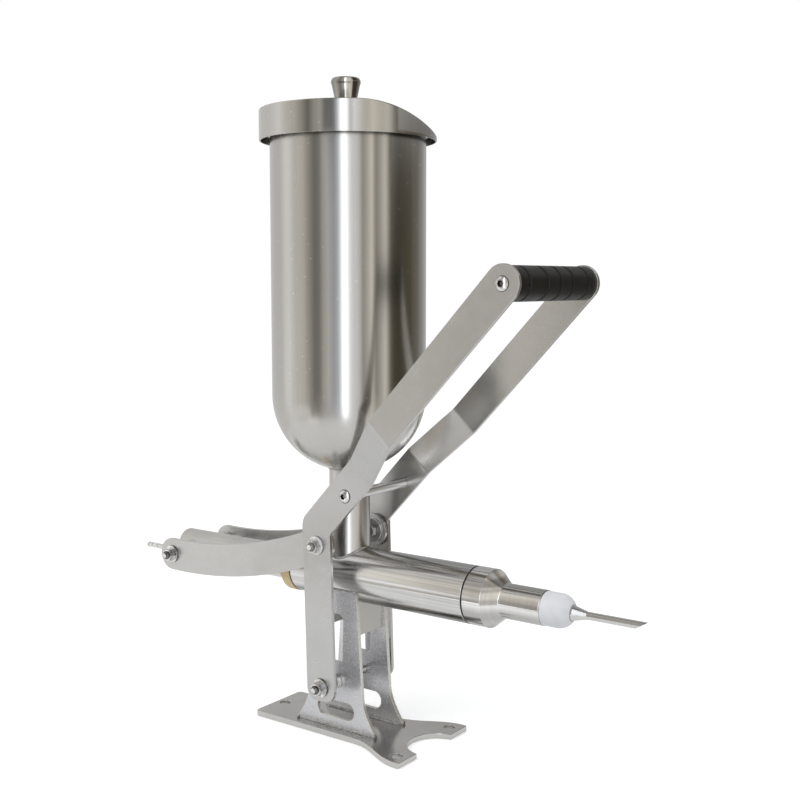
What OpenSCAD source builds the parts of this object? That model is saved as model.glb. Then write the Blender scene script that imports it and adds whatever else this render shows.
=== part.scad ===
// Manual bread and pastry filler: a hopper above a piston barrel, worked by a two-armed lever.
// All lengths are millimetres. X runs along the barrel towards the nozzle, Y is to the left as
// seen from behind, and Z is up. The origin is on the underside of the base plate, below the
// axis of the hopper. The lever stands as far back as it goes.

/* [Base plate] */
// Thickness of the base plate
base_t = 5.5; // [4:0.5:10]
// Width of the base plate behind its toes
base_w = 70; // [64:1:84]
// From the hopper axis to the rear edge
base_rear = 98; // [80:1:130]
// From the hopper axis to the front of the toes
base_front = 102; // [96:1:130]
// Overall width across the two front toes
toe_w = 116; // [110:1:150]
// Radius of the round cut between the toes
toe_gap_r = 29; // [20:0.5:31]
// Diameter of the three screw holes
hole_d = 11; // [5:0.5:13]
// From the front of the toes to the front holes
hole_front_inset = 12; // [10:0.5:18]
// From the side of the toes to the front holes
hole_side_inset = 14; // [12:0.5:19]
// From the rear edge to the rear hole
hole_rear_inset = 10; // [8:1:24]

/* [Stand] */
// Height of the barrel axis above the table
axis_h = 158.5; // [150:0.5:190]
// Thickness of the side plates
plate_t = 4; // [3:0.5:6]
// Gap between the side plates
plate_gap = 40; // [34:1:42]
// Length of a side plate at the base
foot_len = 99; // [84:1:120]
// Length of a side plate at its top
top_len = 52; // [44:1:60]
// Length of a side plate above its foot
waist_len = 67; // [60:1:80]
// Height of the flared foot
foot_flare_h = 36; // [24:1:38]
// Height of the window in a side plate
window_h = 48; // [30:1:50]
// Width of the window at its top
window_w = 21; // [14:1:26]
// Length of the slot near the base
slot_len = 46; // [30:1:48]
// Height of the slot near the base
slot_h = 17.5; // [10:0.5:18]
// Thickness of the two cross webs under the barrel
web_t = 4; // [3:0.5:6]
// Depth of the cross webs below the barrel
web_h = 29; // [10:1:32]

/* [Barrel] */
// Outer diameter of the barrel
barrel_d = 54; // [50:1:58]
// Wall of the barrel
barrel_wall = 2; // [1.5:0.5:3]
// From the hopper axis to the front end of the barrel
barrel_front = 148; // [130:1:180]
// From the hopper axis to the rear end of the barrel
barrel_rear = 60; // [56:1:70]

/* [Hopper] */
// Outer diameter of the hopper
hopper_d = 150; // [130:1:152]
// Wall of the hopper
hopper_wall = 1.2; // [1:0.1:2]
// Height of the straight part of the hopper
hopper_body = 248; // [150:1:320]
// Outer diameter of the neck
neck_d = 40; // [34:1:42]
// Wall of the neck
neck_wall = 1.5; // [1:0.5:3]
// Length of the neck between the barrel and the hopper
neck_h = 75.5; // [66:0.5:110]
// Thickness of the rolled rim
rim_d = 4; // [3:0.5:5]

/* [Lid] */
// Gap between the rim of the hopper and the skirt of the lid
lid_gap = 6.5; // [2:0.5:12]
// Height of the lid
lid_h = 29; // [27:1:40]
// Wall of the lid
lid_wall = 1.5; // [1:0.1:2]
// Radius of the rolled-down side of the lid
slope_r = 112; // [104:1:140]
// From the lid axis to the start of the rolled-down side
slope_start = 14; // [14:1:30]
// Direction of the rolled-down side, turned from the nozzle
slope_turn = 35; // [0:5:90]
// Greatest diameter of the knob
knob_d = 29; // [24:1:36]
// Diameter of the foot of the knob
knob_foot_d = 18; // [12:1:22]
// Height of the knob
knob_h = 31; // [24:1:40]
// Offset of the knob away from the rolled-down side
knob_off = 2; // [0:0.5:6]

/* [Nozzle] */
// Length of the cylindrical part of the nozzle cap
cap_len = 19; // [16:1:34]
// Length of the cone of the nozzle cap
cap_cone = 13; // [10:1:24]
// Length of the narrow neck of the nozzle cap
cap_neck = 41; // [26:1:50]
// Diameter of the narrow neck of the nozzle cap
cap_neck_d = 32; // [30:1:38]
// Length of the plastic nozzle holder
holder_len = 26; // [24:1:36]
// Diameter of the front face of the nozzle holder
holder_face_d = 16; // [15:1:24]
// Length of the cone of the filling needle
needle_cone = 17; // [12:1:26]
// Length of the tube of the filling needle
needle_len = 56; // [30:1:90]
// Outer diameter of the filling needle
needle_d = 7; // [5:0.5:9]
// Wall of the filling needle
needle_wall = 0.8; // [0.5:0.1:1]
// Length of the slanted cut at the tip
tip_cut = 11.5; // [6:0.5:16]

/* [Piston] */
// Outer diameter of the piston rod
rod_d = 31; // [28:1:34]
// Wall of the piston rod
rod_wall = 3; // [2:0.5:4]
// Length of the rod behind the crosshead
rod_tail = 20; // [15:1:32]
// Length of the piston head
piston_len = 27; // [22:1:28]
// Section of the two piston rings
ring_d = 3.6; // [3:0.2:5]
// Thickness of the flange of the guide bush
bush_flange = 17; // [12:1:20]
// Length of the guide bush inside the barrel
bush_spigot = 9; // [6:1:10]
// Diameter of the rear face of the guide bush
bush_rear_d = 40; // [38:1:46]
// Diameter of the collar behind the guide bush
collar_d = 37.5; // [36:0.5:40]
// Length of the collar behind the guide bush
collar_len = 27; // [10:1:32]

/* [Crosshead] */
// Diameter of the crosshead bar
crosshead_d = 20; // [16:1:22]
// Diameter of the two stop rods
stop_d = 5.5; // [4:0.5:7]
// Spacing of the two stop rods
stop_spacing = 52; // [50:1:58]
// Height of the crosshead and the stop rods below the barrel axis
crosshead_drop = 2.5; // [0:0.5:4]
// Length of the stop rods behind the crosshead axis
stop_rear = 56; // [40:1:80]
// Travel left to the stop rods in front of the guide bush
stop_travel = 80; // [78:1:90]

/* [Lever] */
// Height of the lever pivot
pivot_h = 53.5; // [52:0.5:60]
// From the hopper axis forward to the lever pivot
pivot_x = 1.5; // [0:0.5:4]
// From the lever pivot to the link pivot
leg_len = 140; // [132:1:146]
// Backward lean of the legs, in degrees
leg_lean = 1.7; // [0:0.1:3]
// From the link pivot up to the knee of the lever
knee_len = 18; // [10:1:20]
// Length of an arm from the knee to the handle
arm_len = 320; // [280:1:360]
// Slope of the arms above the level, in degrees
arm_rise = 46.6; // [45:0.1:50]
// Width of the legs
leg_w = 34; // [28:1:36]
// Width of the arms
arm_w = 33; // [28:1:36]
// Thickness of the lever plates
lever_t = 4; // [3:0.5:5]
// Gap between the two legs
leg_gap = 89; // [89:1:100]
// Gap between the two arms at the handle
arm_gap = 135; // [130:1:180]
// From the knee to the outward bend
bend_start = 79; // [72:1:84]
// From the knee to the bend back into line
bend_end = 135.5; // [115:0.5:150]
// From the knee to the cross bar
crossbar_s = 49; // [48:1:56]
// Offset of the cross bar towards the front edge of the arms
crossbar_off = 3; // [0:0.5:5]
// Diameter of the cross bar
crossbar_d = 10; // [8:1:12]
// Diameter of the handle grip
grip_d = 30.5; // [26:0.5:34]
// Number of grooves round the grip
grip_grooves = 5; // [3:1:9]

/* [Links] */
// From the link pivot on the lever to the crosshead
link_len = 209; // [200:1:230]
// Bow of the links below the line between their pivots
link_bow = 11; // [6:1:14]
// Width of the links
link_w = 33.5; // [28:0.5:36]
// Thickness of the links
link_t = 4; // [3:0.5:4]

/* [Fasteners] */
// Diameter of the axle and of the pivot bolts
pin_d = 8; // [6:1:8]
// Diameter of the cross bar screws
screw_d = 6; // [5:1:6]
// Thickness of the washers
washer_t = 1.5; // [1:0.1:2]

/* [Hidden] */
$fn = 72;

// Clearances: turning and sliding fits, seats of loose pieces, welded seams, screws in holes
run_gap = 0.05;
seat_gap = 0.3;
weld_gap = 0.05;
screw_gap = 0.1;
cut = 1;              // how far a cutting body runs past a face
steel = [0.72, 0.71, 0.69];
bright = [0.80, 0.80, 0.79];

// Stand and barrel
barrel_r = barrel_d / 2;
bore_r = barrel_r - barrel_wall;
plate_in = plate_gap / 2;
plate_out = plate_in + plate_t;
port_r = neck_d / 2 - neck_wall;

// Hopper and lid
hopper_r = hopper_d / 2;
hopper_c = axis_h + barrel_r + neck_h + hopper_r;
hopper_top = hopper_c + hopper_body;
rim_out = hopper_r + rim_d / 2;
slope_reach = rim_out + seat_gap - slope_start;
lid_top = hopper_top + rim_d / 2 + seat_gap + slope_r
    - sqrt(pow(slope_r - lid_wall, 2) - pow(slope_reach, 2));
lid_bottom = lid_top - lid_h;
lid_r = rim_out + lid_gap + lid_wall;
ring_out = hopper_r - hopper_wall - 1;
ring_in = ring_out - 2;
ring_depth = 10;

// Nozzle
gasket_t = 1.2;
cap_x = barrel_front + seat_gap + gasket_t;
cap_cone_x = cap_x + cap_len;
cap_neck_x = cap_cone_x + cap_cone;
cap_end = cap_neck_x + cap_neck;
cap_neck_r = cap_neck_d / 2;
cap_bore_r = cap_neck_r - 5;
cap_spigot = 12;
holder_x = cap_end;
holder_end = holder_x + holder_len;
holder_spigot = 12;
holder_r = cap_neck_r - 0.5;
needle_base_r = holder_face_d / 2 - 1;
needle_seat = 7;
needle_x = holder_end - needle_seat;
needle_tube_x = holder_end + needle_cone - needle_seat + 4;
needle_end = needle_tube_x + needle_len;

// Lever: pivot, link pivot, knee and handle in the side view
pivot = [pivot_x, pivot_h];
leg_dir = [-sin(leg_lean), cos(leg_lean)];
arm_dir = [cos(arm_rise), sin(arm_rise)];
link_pin = pivot + leg_len * leg_dir;
knee = pivot + (leg_len + knee_len) * leg_dir;
handle = knee + arm_len * arm_dir;
crossbar = knee + crossbar_s * arm_dir + crossbar_off * [arm_dir[1], -arm_dir[0]];
leg_in = leg_gap / 2;
leg_out = leg_in + lever_t;
arm_in = arm_gap / 2;
arm_out = arm_in + lever_t;
leg_drop = 13.5;
leg_corner = 12;

// Links and crosshead
link_out = leg_in - 0.8;
link_in = link_out - link_t;
crosshead_z = axis_h - crosshead_drop;
crosshead = [link_pin[0] - sqrt(pow(link_len, 2) - pow(link_pin[1] - crosshead_z, 2)), crosshead_z];
bow_r = pow(link_len, 2) / (8 * link_bow) + link_bow / 2;
link_dir = (link_pin - crosshead) / link_len;
bow_c = (link_pin + crosshead) / 2 + (bow_r - link_bow) * [-link_dir[1], link_dir[0]];
open_eye_r = 8.5;     // the lever end of a link is free by this radius around its bolt
crosshead_r = crosshead_d / 2;
bar_half = link_in - seat_gap;

// Piston
rod_r = rod_d / 2;
rod_end = crosshead[0] - rod_tail;
piston_front = -port_r - 3;
piston_x = piston_front - piston_len;
piston_r = bore_r - seat_gap;
socket_depth = 10;
rod_front = piston_x + socket_depth;
plug_len = 16;
plug_r = rod_r - rod_wall - run_gap;
bush_x = -barrel_rear - gasket_t - bush_flange;
stop_front = bush_x - stop_travel - 1;
stop_end = crosshead[0] - stop_rear;

// Screws, nuts and washers after their thread size
pin_r = pin_d / 2;
screw_r = screw_d / 2;
function nut_r(d) = 0.94 * d;
function nut_h(d) = 0.8 * d;
function washer_r(d) = 1.15 * d;

function arc(c, r, a0, a1, n = 10) =
    [for (i = [0 : n]) c + r * [cos(a0 + (a1 - a0) * i / n), sin(a0 + (a1 - a0) * i / n)]];
function reversed(v) = [for (i = [len(v) - 1 : -1 : 0]) v[i]];
function mirrored(v) = [for (p = reversed(v)) [p[0], -p[1]]];

// Keeps the child on the left and adds its mirror image on the right
module both_sides() {
    children();
    mirror([0, 1, 0]) children();
}

// Round body along the barrel axis between two stations, hollow if an inner radius is given
module round_x(x0, x1, r, ri = 0) {
    translate([x0, 0, axis_h]) rotate([0, 90, 0]) difference() {
        cylinder(h = x1 - x0, r = r);
        if (ri > 0) translate([0, 0, -cut]) cylinder(h = x1 - x0 + 2 * cut, r = ri);
    }
}

// Cone along the barrel axis
module cone_x(x0, x1, r0, r1) {
    translate([x0, 0, axis_h]) rotate([0, 90, 0]) cylinder(h = x1 - x0, r1 = r0, r2 = r1);
}

// Profile of [station, radius] points turned about the barrel axis
module turned_x(x0, points) {
    translate([x0, 0, axis_h]) rotate([0, 90, 0])
        rotate_extrude() polygon([for (p = points) [p[1], p[0]]]);
}

// Pin across the machine at a point of the side view
module pin_y(p, y0, y1, r) {
    translate([p[0], y0, p[1]]) rotate([-90, 0, 0]) cylinder(h = y1 - y0, r = r);
}

module washer_y(p, y0, d, t = washer_t) {
    translate([p[0], y0, p[1]]) rotate([-90, 0, 0]) difference() {
        cylinder(h = t, r = washer_r(d));
        translate([0, 0, -cut]) cylinder(h = t + 2 * cut, r = d / 2 + screw_gap);
    }
}

// Hexagon nut whose far corners are turned round
module nut_y(p, y0, d) {
    translate([p[0], y0, p[1]]) rotate([-90, 0, 0]) difference() {
        intersection() {
            cylinder(h = nut_h(d), r = nut_r(d), $fn = 6);
            cylinder(h = nut_h(d), r1 = nut_r(d) + 1, r2 = nut_r(d) - 0.6);
        }
        translate([0, 0, -cut]) cylinder(h = nut_h(d) + 2 * cut, r = d / 2 + screw_gap);
    }
}

// Domed screw with a hexagon socket, its head outside y0 and its shank running inwards
module dome_screw_y(p, y0, d, shank) {
    head_h = 0.55 * d;
    head_r = 0.9 * d;
    dome_r = (pow(head_r, 2) + pow(head_h, 2)) / (2 * head_h);
    translate([p[0], y0, p[1]]) rotate([-90, 0, 0]) {
        difference() {
            intersection() {
                cylinder(h = head_h, r = head_r);
                translate([0, 0, head_h - dome_r]) sphere(r = dome_r);
            }
            translate([0, 0, 0.4 * head_h]) cylinder(h = head_h, r = 0.35 * d, $fn = 6);
        }
        translate([0, 0, -shank]) cylinder(h = shank, r = d / 2 - screw_gap / 2);
    }
}

// Flat strip in the side view between two points
module strip(p, q, w) {
    d = q - p;
    translate(p) rotate(atan2(d[1], d[0])) translate([0, -w / 2]) square([norm(d), w]);
}

// Plate cut to a side-view outline, between two distances from the middle plane
module side_cut(y0, y1) {
    translate([0, y1, 0]) rotate([90, 0, 0]) linear_extrude(height = y1 - y0) children();
}

// Base plate
toe_start = 32;       // where the plate begins to widen
toe_full = base_front - 4;
corner_r = 5;
toe_gap_x = base_front + 4;
function toe_y(u) = base_w / 2 + (toe_w - base_w) / 2 * (1 - cos(180 * u)) / 2;
base_side = concat(
    arc([-base_rear + corner_r, base_w / 2 - corner_r], corner_r, 180, 90, 6),
    [for (i = [0 : 12]) [toe_start + (toe_full - toe_start) * i / 12, toe_y(i / 12)]],
    arc([base_front - corner_r / 2, toe_w / 2 - corner_r / 2], corner_r / 2, 90, 0, 4),
    arc([toe_gap_x, 0], toe_gap_r, acos((base_front - toe_gap_x) / toe_gap_r), 180, 16)
);

module base_plate() {
    color(steel) difference() {
        linear_extrude(height = base_t) polygon(concat(base_side, mirrored(base_side)));
        for (y = [-1, 1])
            translate([base_front - hole_front_inset, y * (toe_w / 2 - hole_side_inset), -cut])
                cylinder(h = base_t + 2 * cut, d = hole_d);
        translate([-base_rear + hole_rear_inset, 0, -cut])
            cylinder(h = base_t + 2 * cut, d = hole_d);
    }
}

// Side plates: a tapered upright on a flared foot, with a window and a slot
flare_z = base_t + 2;
flare_out = (foot_len - waist_len) / 2;
plate_half = concat(
    [[foot_len / 2, base_t], [foot_len / 2, flare_z]],
    [for (i = [1 : 12]) [
        waist_len / 2 + flare_out * pow(1 - i / 12, 1.6),
        flare_z + (foot_flare_h - 2) * i / 12]],
    [[top_len / 2, axis_h]]
);
window_top = axis_h - barrel_r - 10;
window_foot = 0.85 * window_w / 2;
window_r = 3;         // rounding of the lower corners
window_head_r = 6;    // rounding of the upper corners
window_half = concat(
    arc([window_foot - window_r, window_top - window_h + window_r], window_r, -90, -5, 5),
    arc([window_w / 2 - window_head_r, window_top - window_head_r], window_head_r, -5, 90, 6)
);
slot_z = base_t + 19;
function flipped(v) = [for (p = reversed(v)) [-p[0], p[1]]];

module side_plate() {
    slot_c = (slot_len - slot_h) / 2;
    difference() {
        side_cut(plate_in, plate_out)
            difference() {
                polygon(concat(plate_half, flipped(plate_half)));
                polygon(concat(window_half, flipped(window_half)));
                for (x = [-slot_c, slot_c]) translate([x, slot_z]) circle(d = slot_h);
                translate([-slot_c, slot_z - slot_h / 2]) square([2 * slot_c, slot_h]);
            }
        round_x(-base_rear, base_front, barrel_r + weld_gap);
        translate([-base_rear, 0, axis_h]) cube([base_rear + base_front, leg_gap, barrel_d]);
        pin_y(pivot, 0, leg_in, pin_r + screw_gap);
    }
}
module side_plate_left() { color(steel) side_plate(); }
module side_plate_right() { color(steel) mirror([0, 1, 0]) side_plate(); }

// Cross webs between the side plates, shaped to the barrel
web_x = top_len / 2 - web_t;
module cross_web(x) {
    difference() {
        translate([x, -plate_in, axis_h - barrel_r - web_h])
            cube([web_t, plate_gap, web_h + barrel_r]);
        round_x(-base_rear, base_front, barrel_r + weld_gap);
        translate([x - cut, -plate_in - cut, axis_h - barrel_r / 2])
            cube([web_t + 2 * cut, plate_gap + 2 * cut, barrel_d]);
    }
}
module front_web() { color(steel) cross_web(web_x); }
module rear_web() { color(steel) cross_web(-web_x - web_t); }

// Barrel with the port under the neck
module barrel() {
    color(bright) difference() {
        round_x(-barrel_rear, barrel_front, barrel_r, bore_r);
        translate([0, 0, axis_h]) cylinder(h = barrel_d, r = port_r);
    }
}

// Neck between the barrel and the bottom of the hopper
module hopper_neck() {
    color(bright) difference() {
        translate([0, 0, axis_h + barrel_r / 2])
            cylinder(h = barrel_r / 2 + neck_h + neck_d / 2, r = neck_d / 2);
        translate([0, 0, axis_h]) cylinder(h = hopper_r * 2, r = port_r);
        round_x(-barrel_rear, barrel_front, barrel_r + weld_gap);
        translate([0, 0, hopper_c]) sphere(r = hopper_r + weld_gap, $fn = 120);
    }
}

// Hopper: a cylinder on a half sphere, open at the top, with a rolled rim
module hopper() {
    color(bright) difference() {
        union() {
            translate([0, 0, hopper_c]) sphere(r = hopper_r, $fn = 120);
            translate([0, 0, hopper_c]) cylinder(h = hopper_body, r = hopper_r, $fn = 120);
            translate([0, 0, hopper_top]) rotate_extrude($fn = 120)
                translate([hopper_r, 0]) circle(d = rim_d, $fn = 24);
        }
        translate([0, 0, hopper_c]) sphere(r = hopper_r - hopper_wall, $fn = 120);
        translate([0, 0, hopper_c])
            cylinder(h = hopper_body + rim_d, r = hopper_r - hopper_wall, $fn = 120);
        translate([0, 0, hopper_c - hopper_r - cut]) cylinder(h = hopper_r / 2, r = port_r);
    }
}

// Guide bush at the rear of the barrel, with a groove for the rod seal
seal_x = -barrel_rear - gasket_t - 4;
seal_r = 1.8;
module guide_bush() {
    flange_r = barrel_r + 0.5;
    color([0.86, 0.77, 0.55]) difference() {
        union() {
            turned_x(bush_x, [
                [0, 0], [0, bush_rear_d / 2], [1, bush_rear_d / 2 + 0.5],
                [bush_flange - 5, flange_r], [bush_flange, flange_r], [bush_flange, 0]
            ]);
            round_x(bush_x + bush_flange, -barrel_rear + bush_spigot, bore_r - run_gap);
        }
        round_x(bush_x - cut, -barrel_rear + bush_spigot + cut, rod_r + run_gap);
        round_x(seal_x - seal_r, seal_x + seal_r, rod_r + 2 * seal_r);
    }
}
module gland_collar() {
    color(steel) round_x(bush_x - collar_len, bush_x, collar_d / 2, rod_r + run_gap);
}
module bush_gasket() {
    color([0.08, 0.08, 0.08])
        round_x(-barrel_rear - gasket_t, -barrel_rear, barrel_r - 0.6, bore_r + run_gap);
}
module rod_seal() {
    color([0.1, 0.1, 0.1]) translate([seal_x, 0, axis_h]) rotate([0, 90, 0]) rotate_extrude()
        translate([rod_r + run_gap + seal_r - 0.1, 0]) circle(r = seal_r - 0.15, $fn = 24);
}

// Lever axle through the side plates, with a boss on each plate
axle_half = leg_out + seat_gap + washer_t + nut_h(pin_d) + 3;
module pivot_axle() {
    color(bright) pin_y(pivot, -axle_half, axle_half, pin_r);
}
module axle_bosses() {
    color(steel) both_sides() difference() {
        pin_y(pivot, plate_out, plate_out + 6, pin_r + 3);
        pin_y(pivot, plate_in, leg_in, pin_r + screw_gap);
    }
}
module axle_collars() {
    color(bright) both_sides() washer_y(pivot, leg_in - seat_gap - washer_t, pin_d);
}
module axle_washers() {
    color(bright) both_sides() washer_y(pivot, leg_out + seat_gap, pin_d);
}
module axle_nuts() {
    color(bright) both_sides() nut_y(pivot, leg_out + seat_gap + washer_t, pin_d);
}

// Lid: a shallow cap, one side of which rolls down to the lower edge
module lid_form(r, top, roll) {
    intersection() {
        translate([0, 0, lid_bottom - cut]) cylinder(h = top - lid_bottom + cut, r = r, $fn = 120);
        union() {
            translate([-2 * lid_r, -lid_r, lid_bottom - cut])
                cube([2 * lid_r + slope_start, 2 * lid_r, lid_h + 2 * cut]);
            translate([slope_start, -lid_r, top - roll]) rotate([-90, 0, 0])
                cylinder(h = 2 * lid_r, r = roll, $fn = 240);
        }
    }
}
module lid() {
    color(bright) rotate(slope_turn) difference() {
        lid_form(lid_r, lid_top, slope_r);
        lid_form(lid_r - lid_wall, lid_top - lid_wall, slope_r - lid_wall);
        translate([-lid_r, -lid_r, lid_bottom - 2 * cut]) cube([2 * lid_r, 2 * lid_r, 2 * cut]);
        translate([-knob_off, 0, 0]) cylinder(h = lid_top + cut, r = screw_r + screw_gap);
    }
}
// Ring under the lid that stands on the rim and drops into the hopper
module lid_seat_ring() {
    ring_top = lid_top - lid_wall;
    seat_z = hopper_top + rim_d / 2 + seat_gap;
    color(bright) rotate(slope_turn) intersection() {
        lid_form(lid_r - lid_wall - weld_gap, ring_top - weld_gap, slope_r - lid_wall - weld_gap);
        difference() {
            union() {
                translate([0, 0, hopper_top - ring_depth])
                    cylinder(h = ring_top - hopper_top + ring_depth, r = ring_out);
                translate([0, 0, seat_z]) cylinder(h = 1.5, r = hopper_r);
            }
            translate([0, 0, hopper_top - ring_depth - cut])
                cylinder(h = lid_h + ring_depth + 2 * cut, r = ring_in);
        }
    }
}
module lid_knob() {
    lip = 4;
    color(bright) rotate(slope_turn) translate([-knob_off, 0, lid_top]) difference() {
        union() {
            cylinder(h = 3, r = knob_foot_d / 2 + 1);
            cylinder(h = knob_h - lip - 3, r1 = knob_foot_d / 2, r2 = knob_d / 2 - 1);
            translate([0, 0, knob_h - lip - 3]) rotate_extrude() {
                square([knob_d / 2 - lip, lip + 3]);
                polygon([[0, 0], [knob_d / 2 - 1, 0], [knob_d / 2, 3], [0, 3]]);
                translate([knob_d / 2 - lip, 3]) circle(r = lip, $fn = 32);
            }
        }
        translate([0, 0, -cut]) cylinder(h = knob_h / 2 + cut, r = screw_r + screw_gap);
    }
}
module knob_screw() {
    head_h = 3.5;
    color(bright) rotate(slope_turn) translate([-knob_off, 0, lid_top - lid_wall - head_h]) {
        cylinder(h = head_h, r = 0.9 * screw_d);
        cylinder(h = head_h + lid_wall + knob_h / 2 - 1, r = screw_r);
    }
}

// Nozzle cap screwed into the barrel, its gasket, the plastic holder and the needle
module nozzle_cap() {
    throat_r = bore_r - 4;
    color(bright) difference() {
        union() {
            round_x(cap_x - gasket_t - seat_gap - cap_spigot, cap_x, bore_r - run_gap);
            round_x(cap_x, cap_cone_x, barrel_r);
            cone_x(cap_cone_x, cap_neck_x, barrel_r, cap_neck_r);
            round_x(cap_neck_x, cap_end, cap_neck_r);
        }
        round_x(cap_x - gasket_t - seat_gap - cap_spigot - cut, cap_cone_x, throat_r);
        cone_x(cap_cone_x - run_gap, cap_neck_x, throat_r, cap_bore_r);
        round_x(cap_neck_x - run_gap, cap_end + cut, cap_bore_r);
    }
}
module cap_gasket() {
    color([0.08, 0.08, 0.08]) round_x(cap_x - gasket_t, cap_x, barrel_r - 0.6, bore_r);
}
module nozzle_holder() {
    face_r = holder_face_d / 2;
    dome_end = acos(face_r / holder_r);
    dome_x = holder_len - holder_r * sin(dome_end);
    color([0.95, 0.95, 0.94]) difference() {
        union() {
            round_x(holder_x - holder_spigot, holder_x, cap_bore_r - run_gap);
            turned_x(holder_x, concat(
                [[0, 0], [0, holder_r]],
                arc([dome_x, 0], holder_r, 90, 90 - dome_end, 12),
                [[holder_len, 0]]
            ));
        }
        round_x(holder_x - holder_spigot - cut, needle_x, needle_base_r);
        round_x(needle_x - cut, holder_end + cut, needle_base_r + run_gap);
    }
}
module filling_needle() {
    tube_r = needle_d / 2;
    color(bright) difference() {
        union() {
            round_x(needle_x, holder_end + 1, needle_base_r);
            cone_x(holder_end + 1, needle_tube_x, needle_base_r, tube_r);
            round_x(needle_tube_x, needle_end, tube_r);
        }
        cone_x(needle_x - run_gap, needle_tube_x, needle_base_r - 1.5, tube_r - needle_wall);
        round_x(needle_x - cut, needle_end + cut, tube_r - needle_wall);
        translate([needle_end, 0, axis_h + tube_r]) rotate([0, atan(tip_cut / needle_d), 0])
            translate([0, -needle_d, -2 * tip_cut]) cube([2 * tip_cut, 2 * needle_d, 4 * tip_cut]);
    }
}

// Piston rod: a tube with the crosshead bar through its rear end
module piston_rod() {
    inner_r = rod_r - rod_wall;
    chamfer = 1.5;
    color(bright) difference() {
        turned_x(rod_end, [
            [0, inner_r], [0, rod_r - chamfer], [chamfer, rod_r],
            [rod_front - rod_end, rod_r], [rod_front - rod_end, inner_r]
        ]);
        pin_y(crosshead, -rod_d, rod_d, crosshead_r + weld_gap);
        translate([crosshead[0], 0, axis_h - rod_d]) cylinder(h = rod_d, r = screw_r + screw_gap);
    }
}
module rod_plug() {
    color(steel) difference() {
        round_x(rod_front - plug_len, rod_front, plug_r);
        round_x(rod_front - plug_len - cut, rod_front + cut, screw_r + screw_gap);
    }
}
groove_r = bore_r - run_gap - ring_d + 0.1;
ring_xs = [piston_x + 0.3 * piston_len, piston_x + 0.72 * piston_len];
module piston_head() {
    color([0.93, 0.93, 0.91]) difference() {
        round_x(piston_x, piston_front, piston_r);
        round_x(piston_x - cut, rod_front, rod_r + run_gap);
        round_x(rod_front - cut, piston_front + cut, screw_r + screw_gap);
        round_x(piston_front - 4, piston_front + cut, screw_d + 1);
        for (x = ring_xs) difference() {
            round_x(x - ring_d / 2, x + ring_d / 2, barrel_r);
            round_x(x - ring_d, x + ring_d, groove_r);
        }
    }
}
module piston_rings() {
    ring_c = bore_r - run_gap - ring_d / 2 + 0.1;
    color([0.1, 0.1, 0.1]) for (x = ring_xs)
        translate([x, 0, axis_h]) rotate([0, 90, 0]) rotate_extrude()
            translate([ring_c, 0]) circle(r = ring_d / 2 - 0.1, $fn = 24);
}
module piston_screw() {
    color(bright) {
        round_x(piston_front - 4, piston_front - 0.5, screw_d);
        round_x(rod_front - plug_len + 2, piston_front - 4, screw_r);
    }
}

// Crosshead bar with a stud at each end, held in the rear end of the piston rod
stud_half = link_out + seat_gap + washer_t + nut_h(pin_d) + 3;
module crosshead_bar() {
    color(bright) difference() {
        union() {
            pin_y(crosshead, -bar_half, bar_half, crosshead_r);
            pin_y(crosshead, -stud_half, stud_half, pin_r);
        }
        for (y = [-1, 1]) translate([crosshead[0] - crosshead_d, y * stop_spacing / 2, crosshead_z])
            rotate([0, 90, 0]) cylinder(h = 2 * crosshead_d, r = stop_d / 2 + weld_gap);
        translate([crosshead[0], 0, axis_h - crosshead_d])
            cylinder(h = crosshead_d, r = screw_r + screw_gap);
    }
}
module crosshead_screw() {
    head_h = 4;
    flat_z = axis_h - rod_r - head_h;
    color(bright) translate([crosshead[0], 0, flat_z]) {
        cylinder(h = head_h, r = screw_d * 0.85, $fn = 6);
        cylinder(h = head_h + rod_r - 1, r = screw_r);
    }
}
module stop_rods() {
    color(bright) for (y = [-1, 1]) translate([stop_end, y * stop_spacing / 2, crosshead_z])
        rotate([0, 90, 0]) cylinder(h = stop_front - stop_end, r = stop_d / 2);
}
// Two nuts lock each stop rod against the crosshead
module stop_nuts() {
    nut_gap = crosshead_r + weld_gap;
    color(bright) for (y = [-1, 1]) for (x = [-nut_gap - nut_h(stop_d), nut_gap])
        translate([crosshead[0] + x, y * stop_spacing / 2, crosshead_z]) rotate([0, 90, 0])
            difference() {
                cylinder(h = nut_h(stop_d), r = nut_r(stop_d), $fn = 6);
                translate([0, 0, -cut]) cylinder(h = 2 * stop_d, r = stop_d / 2 + weld_gap);
            }
}
module crosshead_washers() {
    color(bright) both_sides() washer_y(crosshead, link_out + seat_gap, pin_d);
}
module crosshead_nuts() {
    color(bright) both_sides() nut_y(crosshead, link_out + seat_gap + washer_t, pin_d);
}

// Links: bowed plates from the crosshead to the lever
module link_outline() {
    a0 = atan2(crosshead[1] - bow_c[1], crosshead[0] - bow_c[0]);
    a1 = atan2(link_pin[1] - bow_c[1], link_pin[0] - bow_c[0]);
    polygon(concat(
        arc(bow_c, bow_r + link_w / 2, a0, a1, 40),
        arc(link_pin, link_w / 2, a1 + 9, a1 + 171, 18),
        arc(bow_c, bow_r - link_w / 2, a1, a0, 40),
        arc(crosshead, link_w / 2, a0 + 189, a0 + 351, 18)
    ));
}
module link_plate() {
    difference() {
        side_cut(link_in, link_out) link_outline();
        pin_y(crosshead, link_in - cut, link_out + cut, pin_r + run_gap);
        pin_y(link_pin, link_in - cut, link_out + cut, open_eye_r);
    }
}
module link_left() { color(steel) link_plate(); }
module link_right() { color(steel) mirror([0, 1, 0]) link_plate(); }

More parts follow.
